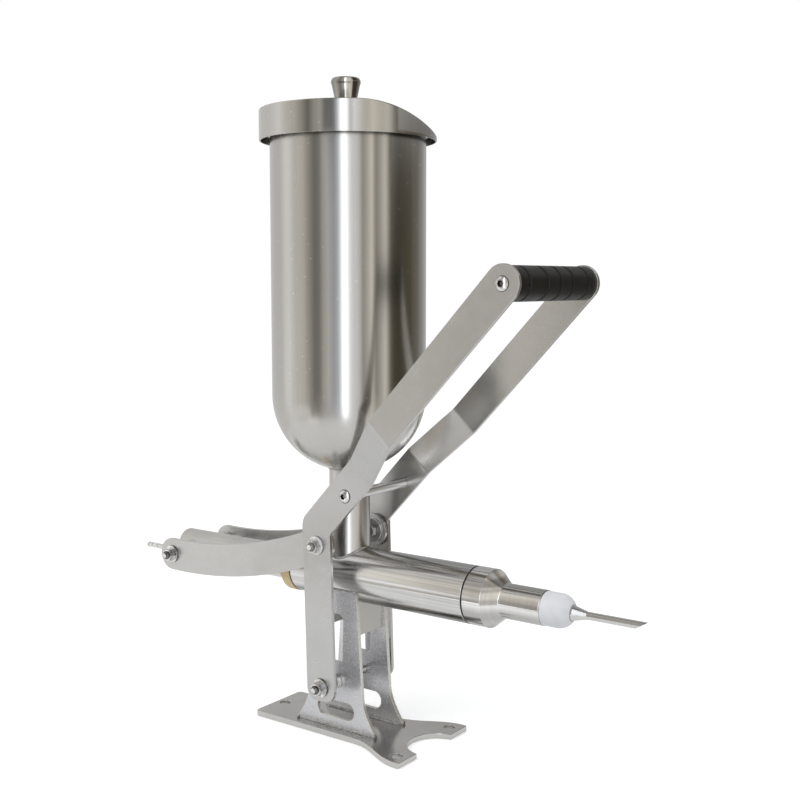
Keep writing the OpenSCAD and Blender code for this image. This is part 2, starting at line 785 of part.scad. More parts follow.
// Lever plates: a leg and an arm, the arm stepped outwards past the hopper
module lever_outline() {
    strip(pivot, knee, leg_w);
    strip(knee, handle, arm_w);
    translate(knee) circle(d = leg_w);
    translate(handle) circle(d = arm_w);
    translate(pivot) rotate(leg_lean) {
        for (x = [-1, 1])
            translate([x * (leg_w / 2 - leg_corner), leg_corner - leg_drop]) circle(r = leg_corner);
        translate([-leg_w / 2, leg_corner - leg_drop]) square([leg_w, leg_drop]);
        translate([leg_corner - leg_w / 2, -leg_drop]) square([leg_w - 2 * leg_corner, leg_drop]);
    }
}
module lever_plate() {
    reach = arm_len + leg_len;
    difference() {
        intersection() {
            side_cut(leg_in - cut, arm_out + cut) lever_outline();
            translate([knee[0], 0, knee[1]]) rotate([0, -arm_rise, 0])
                translate([0, 0, -reach]) linear_extrude(height = 2 * reach) polygon([
                    [-reach, leg_in], [bend_start, leg_in], [bend_end, arm_in], [reach, arm_in],
                    [reach, arm_out], [bend_end, arm_out], [bend_start, leg_out], [-reach, leg_out]
                ]);
        }
        pin_y(pivot, leg_in - cut, leg_out + cut, pin_r + run_gap);
        pin_y(link_pin, leg_in - cut, leg_out + cut, pin_r + screw_gap);
        pin_y(crossbar, leg_in - cut, leg_out + cut, screw_r + screw_gap);
        pin_y(handle, arm_in - cut, arm_out + cut, screw_r + screw_gap);
    }
}
module lever_arm_left() { color(steel) lever_plate(); }
module lever_arm_right() { color(steel) mirror([0, 1, 0]) lever_plate(); }

screw_depth = 14;
module lever_crossbar() {
    color(bright) difference() {
        pin_y(crossbar, -leg_in, leg_in, crossbar_d / 2);
        both_sides() pin_y(crossbar, leg_in - screw_depth - 1, leg_in + cut, screw_r + screw_gap / 2);
    }
}
module crossbar_screws() {
    color(bright) both_sides() dome_screw_y(crossbar, leg_out, screw_d, lever_t + screw_depth);
}

// Handle: a steel core between the arms under a grooved rubber sleeve
core_r = 9;
module handle_core() {
    color(steel) difference() {
        pin_y(handle, -arm_in, arm_in, core_r);
        both_sides() pin_y(handle, arm_in - screw_depth - 1, arm_in + cut, screw_r + screw_gap / 2);
    }
}
module handle_grip() {
    grip_half = arm_in - 1;
    pitch = 2 * grip_half / grip_grooves;
    color([0.12, 0.12, 0.12]) difference() {
        pin_y(handle, -grip_half, grip_half, grip_d / 2);
        pin_y(handle, -grip_half - cut, grip_half + cut, core_r + weld_gap);
        for (i = [1 : grip_grooves - 1])
            translate([handle[0], -grip_half + i * pitch, handle[1]]) rotate([-90, 0, 0])
                rotate_extrude() translate([grip_d / 2, 0]) circle(r = 1.2, $fn = 24);
    }
}
module handle_screws() {
    color(bright) both_sides() dome_screw_y(handle, arm_out, screw_d, lever_t + screw_depth);
}

// Link bolts: heads inside, washers and nuts outside the legs
bolt_head_h = 5;
bolt_head_y = link_in - seat_gap - washer_t;
bolt_tip = leg_out + washer_t + nut_h(pin_d) + 3;
module link_bolts() {
    color(bright) both_sides() union() {
        pin_y(link_pin, bolt_head_y, bolt_tip, pin_r);
        translate([link_pin[0], bolt_head_y - bolt_head_h, link_pin[1]]) rotate([-90, 0, 0])
            cylinder(h = bolt_head_h, r = nut_r(pin_d), $fn = 6);
    }
}
module link_washers() {
    color(bright) both_sides() {
        washer_y(link_pin, leg_out, pin_d);
        translate([link_pin[0], bolt_head_y, link_pin[1]]) rotate([-90, 0, 0]) difference() {
            cylinder(h = washer_t, r = open_eye_r + 4);
            translate([0, 0, -cut]) cylinder(h = washer_t + 2 * cut, r = pin_r + screw_gap);
        }
    }
}
module link_nuts() {
    color(bright) both_sides() nut_y(link_pin, leg_out + washer_t, pin_d);
}

base_plate();
side_plate_right();
side_plate_left();
front_web();
rear_web();
barrel();
hopper_neck();
hopper();
guide_bush();
bush_gasket();
rod_seal();
gland_collar();
pivot_axle();
axle_bosses();
axle_collars();
axle_washers();
axle_nuts();
lid();
lid_seat_ring();
lid_knob();
knob_screw();
nozzle_cap();
cap_gasket();
nozzle_holder();
filling_needle();
piston_rod();
rod_plug();
piston_head();
piston_rings();
piston_screw();
crosshead_bar();
crosshead_screw();
stop_rods();
stop_nuts();
crosshead_washers();
crosshead_nuts();
link_right();
link_left();
lever_arm_right();
lever_arm_left();
lever_crossbar();
crossbar_screws();
handle_core();
handle_grip();
handle_screws();
link_bolts();
link_washers();
link_nuts();
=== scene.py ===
import math
import bpy
import numpy as np
from mathutils.geometry import delaunay_2d_cdt
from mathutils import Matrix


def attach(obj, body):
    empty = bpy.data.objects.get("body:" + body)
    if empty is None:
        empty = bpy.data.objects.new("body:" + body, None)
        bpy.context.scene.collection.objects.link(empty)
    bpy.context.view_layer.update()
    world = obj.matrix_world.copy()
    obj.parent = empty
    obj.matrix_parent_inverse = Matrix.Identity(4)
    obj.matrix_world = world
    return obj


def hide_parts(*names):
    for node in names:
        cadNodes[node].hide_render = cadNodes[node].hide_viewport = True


# lengths below are in millimetres, as in the CAD source; the mesh builder turns them into metres
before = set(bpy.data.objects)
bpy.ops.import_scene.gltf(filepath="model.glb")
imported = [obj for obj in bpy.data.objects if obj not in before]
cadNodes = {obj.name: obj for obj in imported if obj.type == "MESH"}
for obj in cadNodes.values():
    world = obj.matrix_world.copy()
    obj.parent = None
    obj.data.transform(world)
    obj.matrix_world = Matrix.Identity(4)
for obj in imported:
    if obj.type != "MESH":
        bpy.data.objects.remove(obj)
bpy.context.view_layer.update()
print("frame loaded:", len(cadNodes), "nodes")

machine = {
    "axisHeight": 158.5,      # barrel axis above the table
    "plateInner": 20.0,       # faces of the side plates, from the middle plane
    "plateOuter": 24.0,
    "legInner": 44.5,         # faces of the lever legs
    "legOuter": 48.5,
    "armInner": 67.5,         # faces of the lever arms beside the handle
    "armOuter": 71.5,
    "linkInner": 39.7,        # inner face of the links
    "pivot": (1.5, 53.5),     # lever pivot in the side view
    "lean": 1.7,              # backward lean of the legs, degrees
    "legLength": 140.0,
    "kneeLength": 18.0,
    "armRise": 46.6,          # slope of the arms, degrees
    "armLength": 320.0,
    "crossBarAlong": 49.0,    # cross bar: along the arm from the knee, and below the arm's middle line
    "crossBarBelow": 3.0,
    "linkLength": 209.0,
    "crossheadHeight": 156.0,
}
axisHeight = machine["axisHeight"]
pivot = np.array(machine["pivot"])
lean = math.radians(machine["lean"])
rise = math.radians(machine["armRise"])
legUp = np.array([-math.sin(lean), math.cos(lean)])
legAcross = np.array([math.cos(lean), math.sin(lean)])
armAlong = np.array([math.cos(rise), math.sin(rise)])
armUp = np.array([-math.sin(rise), math.cos(rise)])
linkPin = pivot + machine["legLength"] * legUp
knee = pivot + (machine["legLength"] + machine["kneeLength"]) * legUp
handle = knee + machine["armLength"] * armAlong
crossBar = knee + machine["crossBarAlong"] * armAlong - machine["crossBarBelow"] * armUp
linkFall = linkPin[1] - machine["crossheadHeight"]
crosshead = np.array([linkPin[0] - math.sqrt(machine["linkLength"] ** 2 - linkFall ** 2), machine["crossheadHeight"]])
bothSides = (False, True)     # left, right


# Mesh helpers

def fullTurn(count):
    return np.linspace(0, 2 * np.pi, count, endpoint=False)


def softCorners(points, radius, steps=5, closed=True):
    # each corner becomes an arc that touches both sides: the weighted three-point curve
    # ((1-t)^2 A + 2w t(1-t) C + t^2 B) / ((1-t)^2 + 2w t(1-t) + t^2), w = cosine of half the turn
    p = np.asarray(points, float)
    r = np.broadcast_to(np.asarray(radius, float), (len(p),)).copy()
    if not closed:
        r[0] = r[-1] = 0
    before = p - np.roll(p, 1, 0)
    after = np.roll(p, -1, 0) - p
    lenBefore = np.maximum(np.linalg.norm(before, axis=1), 1e-9)
    lenAfter = np.maximum(np.linalg.norm(after, axis=1), 1e-9)
    d0 = before / lenBefore[:, None]
    d1 = after / lenAfter[:, None]
    cosTurn = np.clip((d0 * d1).sum(1), -0.999, 1)
    tanHalf = np.sqrt((1 - cosTurn) / (1 + cosTurn))
    reach = np.minimum(r * tanHalf, 0.48 * np.minimum(lenBefore, lenAfter))
    a = p - d0 * reach[:, None]
    b = p + d1 * reach[:, None]
    w = np.sqrt((1 + cosTurn) / 2)[:, None, None]
    t = np.linspace(0, 1, steps + 1)[None, :, None]
    top = (1 - t) ** 2 * a[:, None] + 2 * w * t * (1 - t) * p[:, None] + t ** 2 * b[:, None]
    low = (1 - t) ** 2 + 2 * w * t * (1 - t) + t ** 2
    out = (top / low).reshape(-1, p.shape[1])
    gap = np.linalg.norm(out - np.roll(out, 1, 0), axis=1)
    keep = gap > 1e-4
    keep[0] = keep[0] or not closed
    return out[keep]


def ringFaces(rows, columns, closedRows=False):
    # quads between neighbouring rings; each ring is closed on itself
    i = np.arange(rows if closedRows else rows - 1)[:, None] * columns
    k = (i + columns) % (rows * columns)
    j = np.arange(columns)[None, :]
    n = (j + 1) % columns
    return np.stack([i + j, i + n, k + n, k + j], -1).reshape(-1, 4)


def band(start, end, inner, outer):
    # the profile of a tube or washer, or of a pin where there is no inner radius
    return np.array([[start, inner], [start, outer], [end, outer], [end, inner]])


def turnedRings(profile, place, count):
    # a profile of [station, radius] turned round its line: (r cos a, r sin a, station)
    s, r, a = profile[:, :1], profile[:, 1:], fullTurn(count)
    return place(r * np.cos(a), r * np.sin(a), s + 0 * a)


def alongX(z0=axisHeight, y0=0.0, x0=0.0):
    return lambda u, v, s: np.stack([x0 + s, y0 + u, z0 + v], -1)


def alongY(point, y0=0.0, flip=False):
    # outwards from the middle plane at a point of the side view; flip gives the right-hand side
    if flip:
        return lambda u, v, s: np.stack([point[0] + u, -(y0 + s), point[1] + v], -1)
    return lambda u, v, s: np.stack([point[0] + v, y0 + s, point[1] + u], -1)


def alongZ(x0=0.0, y0=0.0, z0=0.0):
    return lambda u, v, s: np.stack([x0 + u, y0 + v, z0 + s], -1)


def solidFromRings(rings, closed=False):
    # joins rings into a skin; rings of no size become one point, so the ends close to a fan
    rows, columns = rings.shape[:2]
    span = np.linalg.norm(rings - rings.mean(1, keepdims=True), axis=-1).max(1)
    number = np.arange(rows * columns).reshape(rows, columns)
    number[span < 1e-6] = number[span < 1e-6][:, :1]
    return rings.reshape(-1, 3), number.reshape(-1)[ringFaces(rows, columns, closed)]


def orientOutwards(points, faces):
    # the sum of a . (b x c) over the triangles is six times the volume; a negative one means inside out
    a, b, c, d = (points[faces[:, k]] for k in range(4))
    volume = np.einsum("ij,ij->", a, np.cross(b, c)) + np.einsum("ij,ij->", a, np.cross(c, d))
    return faces[:, ::-1] if volume < 0 else faces


def placeObject(name, data):
    thing = bpy.data.objects.new(name, data)
    bpy.context.scene.collection.objects.link(thing)
    return thing


def meshPiece(name, parts, body, material, node=None, sharp=32):
    # puts (points, faces) pairs into one mesh; faces are rows of four numbers, a repeated number means a
    # triangle; a third array marks faces: 1 for a cut edge, up to 1 for painted shade on a groove, a socket or a rim,
    # -1 for an inner face
    vertexList, loopList, sizeList, markList, base = [], [], [], [], 0
    for points, faces, *mark in parts:
        mark = mark[0] if mark else np.zeros(len(faces))
        faces = orientOutwards(points, faces)
        used, back = np.unique(faces, return_inverse=True)
        faces = back.reshape(faces.shape)
        same = faces == np.roll(faces, -1, 1)
        good = same.sum(1) < 2
        faces, same = faces[good], same[good]
        markList.append(mark[good])
        loopList.append((faces + base)[~same])
        sizeList.append(4 - same.sum(1))
        vertexList.append(points[used])
        base += len(used)
    vertices, marks = np.concatenate(vertexList) * 0.001, np.concatenate(markList)
    loops, sizes = np.concatenate(loopList), np.concatenate(sizeList)
    mesh = bpy.data.meshes.new(name)
    mesh.vertices.add(len(vertices))
    mesh.vertices.foreach_set("co", vertices.astype(np.float32).ravel())
    mesh.loops.add(len(loops))
    mesh.loops.foreach_set("vertex_index", loops.astype(np.int32))
    mesh.polygons.add(len(sizes))
    mesh.polygons.foreach_set("loop_start", (np.cumsum(sizes) - sizes).astype(np.int32))
    mesh.update(calc_edges=True)
    # the marks become a face attribute; the finishes give marked faces their edge tone, which on fasteners is painted
    # shade
    mesh.attributes.new("cutEdgeOrPaintedShade", "FLOAT", "FACE").data.foreach_set("value", marks.astype(np.float32))
    mesh.validate()
    mesh.shade_smooth()
    mesh.set_sharp_from_angle(angle=math.radians(sharp))
    mesh.materials.append(material)
    piece = placeObject(name, mesh)
    even = piece.modifiers.new("evenShade", "WEIGHTED_NORMAL")
    even.keep_sharp, even.weight = True, 60
    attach(piece, body)
    if node:
        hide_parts(node)


def turned(profile, place, radius=0.4, count=96, closed=False, steps=4, mark=None):
    # one turned solid: the profile with softened corners, turned round its line; mark gives each strip's
    # mark from its middle's station and radius
    soft = softCorners(profile, radius, steps, closed)
    solid = solidFromRings(turnedRings(soft, place, count), closed)
    if mark is None:
        return solid
    middle = (soft + np.roll(soft, -1, 0)) / 2
    marks = mark(middle[:, 0], middle[:, 1]) + 0.0 * middle[:, 0]
    return (*solid, np.repeat(marks if closed else marks[:-1], count))


def hexRadius(angle, flat):
    # distance from the centre to a hexagon's side in each direction, for half the width across flats
    return flat / np.cos(np.mod(angle, np.pi / 3) - np.pi / 6)


# shares of the size and of the flats, the bevel round the hole, and marks of the sides, which paint reflection and
# shade: dark and light sides, the hole's rim and the slope
nutShape = {"corner": 0.86, "face": 0.97, "fall": 0.58, "foot": 0.4, "bevel": 0.35, "dark": 0.7, "light": 0.1,
            "rim": 0.9, "slope": 0.2}


def hexNut(place, size, hole, height, shape=nutShape):
    # a hexagon with turned-off corners: the top falls away from the washer face towards the corners
    a = fullTurn(96)
    zero, bevel = 0 * a, shape["bevel"]
    flat = shape["corner"] * size * math.cos(math.pi / 6)
    side = hexRadius(a, flat)
    drop = (side - flat * shape["face"]) * shape["fall"]
    bore, mouth, face = hole + zero, hole + bevel + zero, flat * shape["face"] + zero
    r = np.array([bore, mouth, face, side, side, face, mouth, bore])
    heights = [bevel + zero, zero, zero, drop * shape["foot"], height - drop, height + zero, height + zero,
               height - bevel + zero]
    rings = place(r * np.cos(a), r * np.sin(a), np.array(heights))
    # every other side and the hole's rim are darker: painted reflection on the sides, painted shade in the hole
    marks = np.zeros((8, len(a)))
    marks[3] = np.where(np.floor(a / (np.pi / 3)) % 2 == 0, shape["dark"], shape["light"])
    marks[[1, 6, 7]] = shape["rim"]
    marks[4] = shape["slope"]
    return (*solidFromRings(rings, True), marks.ravel())


# millimetres, then shares of the size, and for the socket's floor a share of the head's height
screwShape = {"size": 6, "length": 16, "headHeight": 0.58, "headRadius": 1.1, "socket": 0.42, "floor": 0.22}


def domeScrew(place, shape=screwShape):
    # a domed head with a six-sided socket: floor, six-sided wall, dome down to the rim, then the shank
    size, shank = shape["size"], shape["length"]
    headHeight, headRadius, socket = (shape[k] * size for k in ("headHeight", "headRadius", "socket"))
    dome = (headRadius ** 2 + headHeight ** 2) / (2 * headHeight)
    a = fullTurn(96)
    zero = 0 * a
    wall = hexRadius(a, socket * math.cos(math.pi / 6) * 1.1)
    floorHeight = shape["floor"] * headHeight
    outer = np.linspace(socket * 1.25, headRadius, 9)[:, None] + zero
    domeHeight = headHeight - dome + np.sqrt(dome ** 2 - outer ** 2) + 0.25 * np.linspace(0, 1, 9)[:, None]
    lip = headHeight - dome + math.sqrt(dome ** 2 - (socket * 1.2) ** 2)
    radii = np.vstack([zero, wall * 0.55, wall * 0.97, wall, wall * 1.04, outer,
                       zero + headRadius - 0.3, zero + size / 2, zero + size / 2, zero])
    heights = np.vstack([zero + floorHeight - 0.25, zero + floorHeight - 0.1, zero + floorHeight,
                         zero + lip - 0.35, zero + lip - 0.05, domeHeight, zero, zero, zero - shank, zero - shank])
    marks = np.zeros((len(radii) - 1, len(a)))
    # painted shade in the socket and at the rim of the head
    marks[:4] = np.array([0.7, 1.0, 1.0, 0.9])[:, None]     # the socket
    marks[12:14] = 1.0                                      # the rim of the head
    return (*solidFromRings(place(radii * np.cos(a), radii * np.sin(a), heights)), marks.ravel())


def loopOutwards(loop):
    # outward direction at each point of a loop that runs with the material on its left
    before = loop - np.roll(loop, 1, 0)
    after = np.roll(loop, -1, 0) - loop
    n0 = np.stack([before[:, 1], -before[:, 0]], 1) / np.linalg.norm(before, axis=1)[:, None]
    n1 = np.stack([after[:, 1], -after[:, 0]], 1) / np.linalg.norm(after, axis=1)[:, None]
    return (n0 + n1) / np.maximum(1 + (n0 * n1).sum(1), 0.3)[:, None]


def loopArea(loop):
    x, y = loop[:, 0], loop[:, 1]
    return 0.5 * float(np.sum(x * np.roll(y, -1) - y * np.roll(x, -1)))


def insideLoop(points, loop):
    # a point is inside where a level ray from it crosses the loop an odd number of times
    x, y = points[:, 0][:, None], points[:, 1][:, None]
    x0, y0 = loop[:, 0][None], loop[:, 1][None]
    x1, y1 = np.roll(loop[:, 0], -1)[None], np.roll(loop[:, 1], -1)[None]
    crosses = (y0 > y) != (y1 > y)
    at = x0 + (y - y0) * (x1 - x0) / np.where(y1 == y0, 1e-12, y1 - y0)
    return (crosses & (x < at)).sum(1) % 2 == 1


def cutPlate(outline, holes, thickness, place, edge, folds=()):
    # a flat plate cut to an outline: a rounded edge strip carried round every loop, and both faces
    # filled between the loops; folds are pairs of outline points joined across the plate
    loops = [outline if loopArea(outline) > 0 else outline[::-1]]
    loops += [h if loopArea(h) < 0 else h[::-1] for h in holes]
    turn = np.linspace(0, np.pi / 2, 4)
    inset = edge * (1 - np.sin(turn))
    height = edge * (1 - np.cos(turn))
    insets = np.concatenate([inset, inset[::-1]])
    heights = np.concatenate([height, thickness - height[::-1]])
    rows = len(insets)
    points, faces, base, rims = [], [], 0, []
    for loop in loops:
        ring = loop[None] - insets[:, None, None] * loopOutwards(loop)[None]
        points.append(place(ring[..., 0], ring[..., 1], heights[:, None] + 0 * ring[..., 0]).reshape(-1, 3))
        faces.append(ringFaces(rows, len(loop)) + base)
        rims.append((ring[0], base, base + (rows - 1) * len(loop)))
        base += rows * len(loop)
    flat = np.concatenate([r[0] for r in rims])
    low = np.concatenate([np.arange(len(r[0])) + r[1] for r in rims])
    high = np.concatenate([np.arange(len(r[0])) + r[2] for r in rims])
    edges, start = [], 0
    for ring, _, _ in rims:
        k = np.arange(len(ring))
        edges.append(np.stack([k, (k + 1) % len(ring)], 1) + start)
        start += len(ring)
    if len(folds):
        edges.append(np.asarray(folds))
    cut = delaunay_2d_cdt(flat.tolist(), np.concatenate(edges).tolist(), [], 0, 1e-7)
    names = np.array([o[0] for o in cut[3]])
    tris = names[np.array([f for f in cut[2] if len(f) == 3])]
    middle = flat[tris].mean(1)
    keep = insideLoop(middle, rims[0][0])
    for ring, _, _ in rims[1:]:
        keep &= ~insideLoop(middle, ring)
    tris = tris[keep]
    ab, ac = flat[tris[:, 1]] - flat[tris[:, 0]], flat[tris[:, 2]] - flat[tris[:, 0]]
    wrong = ab[:, 0] * ac[:, 1] - ab[:, 1] * ac[:, 0] < 0
    tris[wrong] = tris[wrong][:, ::-1]
    quads = np.concatenate([tris, tris[:, 2:]], 1)
    mark = np.concatenate([np.ones(sum(len(f) for f in faces)), np.zeros(len(quads)), -np.ones(len(quads))])
    return np.concatenate(points), np.concatenate([*faces, high[quads], low[quads[:, ::-1]]]), mark


def circleLoop(centre, radius, count=48):
    # (cx + r cos a, cy + r sin a)
    a = fullTurn(count)
    return np.stack([centre[0] + radius * np.cos(a), centre[1] + radius * np.sin(a)], 1)


def platePair(names, part, body, materials, nodes):
    # a plate's mirror image on the right side, then the plate itself on the left
    mirror = (part[0] * np.array([1, -1, 1]), *part[1:])
    for name, solid, material, node in zip(names, (mirror, part), materials, nodes):
        meshPiece(name, [solid], body, material, node)


# Finishes

def setInputs(tree, node, inputs):
    # each input takes another node's output, a number, a direction or a colour
    for socket, value in dict(inputs).items():
        goal = node.inputs[socket]
        if hasattr(value, "links"):
            tree.links.new(value, goal)
        else:
            goal.default_value = (*value, 1) if goal.type == "RGBA" else value


def addNode(tree, kind, inputs=(), **settings):
    node = tree.nodes.new("ShaderNode" + kind)
    for name, value in settings.items():
        setattr(node, name, value)
    setInputs(tree, node, inputs)
    return node


def newMaterial(name, shader="BsdfPrincipled", inputs=()):
    material = bpy.data.materials.new(name)
    material.use_nodes = True
    tree = material.node_tree
    tree.nodes.clear()
    skin = addNode(tree, shader, inputs)
    addNode(tree, "OutputMaterial", {0: skin.outputs[0]})
    return material, tree, skin


def ownPlace(tree):
    return addNode(tree, "TexCoord").outputs["Object"]


def mathNode(tree, kind, *values):
    return addNode(tree, "Math", dict(enumerate(values)), operation=kind).outputs[0]


def mapRange(tree, source, low, high, fromLow=0.3, fromHigh=0.7):
    return addNode(tree, "MapRange", {0: source, 1: fromLow, 2: fromHigh, 3: low, 4: high}).outputs[0]


def mixColours(tree, a, b, factor, mode="MIX"):
    return addNode(tree, "Mix", {6: a, 7: b, 0: factor}, data_type="RGBA", blend_type=mode).outputs[2]


def noise(tree, scale, stretch, detail, roughness):
    # noise on the piece's own coordinates, stretched along the axes
    turn = addNode(tree, "Mapping", {"Vector": ownPlace(tree), "Scale": stretch}).outputs[0]
    return addNode(tree, "TexNoise", {"Vector": turn, "Scale": scale, "Detail": detail,
                                      "Roughness": roughness}).outputs[0]


def ramp(tree, source, stops):
    node = addNode(tree, "ValToRGB", {0: source})
    while len(node.color_ramp.elements) < len(stops):
        node.color_ramp.elements.new(0.5)
    for element, (place, colour) in zip(node.color_ramp.elements, stops):
        element.position, element.color = place, (*colour, 1)
    return node.outputs[0]


def fineGrain(tree, skin, look):
    grain = noise(tree, look["grainScale"], look["grainStretch"], 2.0, 0.6)
    bump = addNode(tree, "Bump", {"Height": grain, "Strength": look["bump"], "Distance": 0.0002})
    setInputs(tree, skin, {"Normal": bump.outputs[0]})


def paintReflectionBands(tree, shade, mark, look):
    # painted reflection bands: the tone changes along one direction, s = place times direction, looked up in a list
    # of stops (s, factor)
    stops = look["stops"]
    first, last = stops[0][0], stops[-1][0]
    place = ownPlace(tree)
    dot = addNode(tree, "VectorMath", {0: place, 1: look["sweep"]}, operation="DOT_PRODUCT").outputs["Value"]
    share = mapRange(tree, dot, 0.0, 1.0, first / 1000, last / 1000)
    factor = ramp(tree, share, [((s - first) / (last - first), (f / 2, f / 2, f / 2)) for s, f in stops])
    change = mathNode(tree, "SUBTRACT", factor, 0.5)
    if "above" in look:
        # the painted bands fade out between two heights
        height = addNode(tree, "SeparateXYZ", {0: place}).outputs[2]
        low, high = (z / 1000 for z in look["above"])
        change = mathNode(tree, "MULTIPLY", change, mapRange(tree, height, 0.0, 1.0, low, high))
    # with innerOnly, only the inner faces get the painted bands
    if look.get("innerOnly"):
        change = mathNode(tree, "MULTIPLY", change, mapRange(tree, mark, 1.0, 0.0, -1.0, 0.0))
    return mathNode(tree, "MULTIPLY", shade, mathNode(tree, "MULTIPLY_ADD", change, 2.0, 1.0))


def steelFinish(name, **look):
    # steel: two tones mixed by broad clouds, brushed along one direction, with a fine grain in the bump
    look = {**steelBasics, **look}
    material, tree, skin = newMaterial(name, inputs={"Metallic": look["metallic"]})
    clouds = noise(tree, look["cloudScale"], look["cloudStretch"], 5.0, 0.6)
    tone = ramp(tree, clouds, [(0.3, look["dark"]), (0.7, look["light"])])
    brush = noise(tree, look["brushScale"], look["brush"], 3.0, 0.7)
    shade = mapRange(tree, brush, 1 - look["brushDepth"], 1 + look["brushDepth"] * 0.6)
    mark = addNode(tree, "Attribute", attribute_name="cutEdgeOrPaintedShade").outputs["Fac"]
    # painted reflection bands, where the look lists stops
    if "sweep" in look:
        shade = paintReflectionBands(tree, shade, mark, look)
    grey = addNode(tree, "CombineColor", {0: shade, 1: shade, 2: shade}).outputs[0]
    colour = mixColours(tree, tone, grey, 1.0, "MULTIPLY")
    # the edge tone on marked faces: on plates the tone of the cut edges, on bolts, nuts, screws, washers and bosses
    # painted shade
    if "edge" in look:
        colour = mixColours(tree, colour, look["edge"], mark)
    if "specks" in look:
        # a speck where a cell's centre is nearer than a set share of the cell and the cell's number is high
        cells = addNode(tree, "TexVoronoi", {"Vector": ownPlace(tree), "Scale": look["specks"]}).outputs
        near = mapRange(tree, cells["Distance"], 1.0, 0.0, 0.05, 0.12)
        some = mapRange(tree, cells["Color"], 0.0, 1.0, 0.62, 0.66)
        both = mathNode(tree, "MULTIPLY", near, some)
        colour = mixColours(tree, colour, look["speckTone"], both)
        metal = mapRange(tree, both, look["metallic"], 0.6, 0.0, 1.0)
        # the inner faces are duller, so light that falls in from above spreads in them
        inside = mapRange(tree, mark, 0.35, 1.0, -1.0, 0.0)
        setInputs(tree, skin, {"Metallic": mathNode(tree, "MULTIPLY", metal, inside)})
    setInputs(tree, skin, {"Base Color": colour, "Roughness": mapRange(tree, brush, *look["rough"])})
    if "along" in look:
        # the shine is drawn out along one direction, as fine turning marks across it do
        line = addNode(tree, "CombineXYZ", dict(enumerate(look["along"]))).outputs[0]
        setInputs(tree, skin, {"Anisotropic": look["drawn"], "Tangent": line})
    fineGrain(tree, skin, look)
    return material


# directions of the painted reflection bands; each stop is millimetres along the direction and a factor on the tone
alongArms, upwards, acrossView = (armAlong[0], 0, armAlong[1]), (0, 0, 1), (0.7804, 0.6252, 0)
steelBasics = dict(metallic=1.0, cloudStretch=(1, 1, 1), brush=(1, 1, 1), brushDepth=0.06, grainStretch=(1, 1, 1))

plateLook = dict(
    metallic=0.88, dark=(0.53, 0.525, 0.515), light=(0.57, 0.565, 0.555), cloudScale=14, brushScale=60,
    brushDepth=0.03, rough=(0.23, 0.28), grainScale=900, bump=0.2, edge=(0.52, 0.515, 0.505))
plateSteel = steelFinish("smoothPlateSteel", **plateLook)
# the lever plates carry painted reflection bands along the arms; on the far plate only the inner face has them
nearPlateSteel = steelFinish("rightPlateSteelPaintedBands", **plateLook, sweep=alongArms, stops=[
    (0, 0.955), (228, 0.955), (232, 0.88), (285, 0.88), (289, 1.04), (311, 1.08), (383, 1.18), (470, 1.24)])
farPlateSteel = steelFinish("leftPlateSteelPaintedBands", **dict(plateLook, rough=(0.18, 0.22)), sweep=alongArms, innerOnly=True,
                            stops=[(0, 0.92), (228, 0.92), (232, 1.42), (285, 1.42), (288, 0.82), (322, 0.86),
                                   (350, 1.30), (470, 1.30)])
webSteel = steelFinish("smoothWebSteel", **dict(plateLook, dark=(0.46, 0.45, 0.42), light=(0.51, 0.50, 0.47)))
# the side plates are lighter from about 65 mm to 90 mm up and above: a painted reflection band
standSteel = steelFinish(
    "blastedStandSteelPaintedBand", metallic=0.62, dark=(0.61, 0.61, 0.625), light=(0.67, 0.67, 0.685), cloudScale=30,
    brushScale=320, brushDepth=0.05, rough=(0.20, 0.30), grainScale=700, bump=0.3, edge=(0.66, 0.64, 0.60),
    sweep=upwards, stops=[(0, 0.97), (65, 0.97), (90, 1.22), (130, 1.22)])
baseSteel = steelFinish(
    "basePlateSteel", metallic=0.97, dark=(0.46, 0.45, 0.43), light=(0.53, 0.52, 0.50), cloudScale=20,
    brushScale=150, rough=(0.12, 0.17), grainScale=800, bump=0.2, edge=(0.60, 0.59, 0.57))

hopperLook = dict(
    dark=(0.51, 0.50, 0.475), light=(0.56, 0.55, 0.525), cloudScale=9, cloudStretch=(1, 1, 0.3), brushScale=420,
    brush=(1, 1, 0.01), brushDepth=0.03, rough=(0.20, 0.23), grainScale=1500, grainStretch=(1, 1, 0.02), bump=0.06,
    along=(0, 0, 1), drawn=0.8, specks=190, speckTone=(0.85, 0.85, 0.86), sweep=acrossView)
# hopper and lid: the stops paint upright light and dark reflection bands across the view; on the hopper they fade out
# between 345 and 318 mm up
hopperSteel = steelFinish("polishedHopperSteelPaintedBands", **hopperLook, above=(318, 345), stops=[
    (-79, 0.92), (-63, 0.92), (-59, 1.06), (-51, 1.02), (-41, 1.1), (-36, 0.95), (-31, 0.68), (-27, 0.68),
    (-23, 1.05), (-19, 1.12), (-14, 0.84), (-10, 0.84), (-6, 0.95), (5, 1.02), (9, 1.08), (13, 0.74), (17, 0.95),
    (21, 1.24), (25, 0.64), (29, 0.9), (33, 1.2), (38, 1.15), (42, 0.75), (46, 0.65), (60, 0.78), (65, 0.56),
    (69, 0.68), (73, 1.0), (79, 0.9)])
lidSteel = steelFinish("polishedLidSteelPaintedBands", **hopperLook, stops=[
    (-48, 1.0), (-42, 0.93), (-36, 0.62), (-31, 1.0), (-25, 1.0), (-21, 0.6), (-13, 0.5), (-9, 0.8), (-5, 1.0),
    (-1, 0.95), (2, 0.72), (6, 1.15), (23, 1.2), (35, 1.15), (40, 0.88), (46, 1.2), (57, 0.95), (65, 0.8), (75, 0.6)])
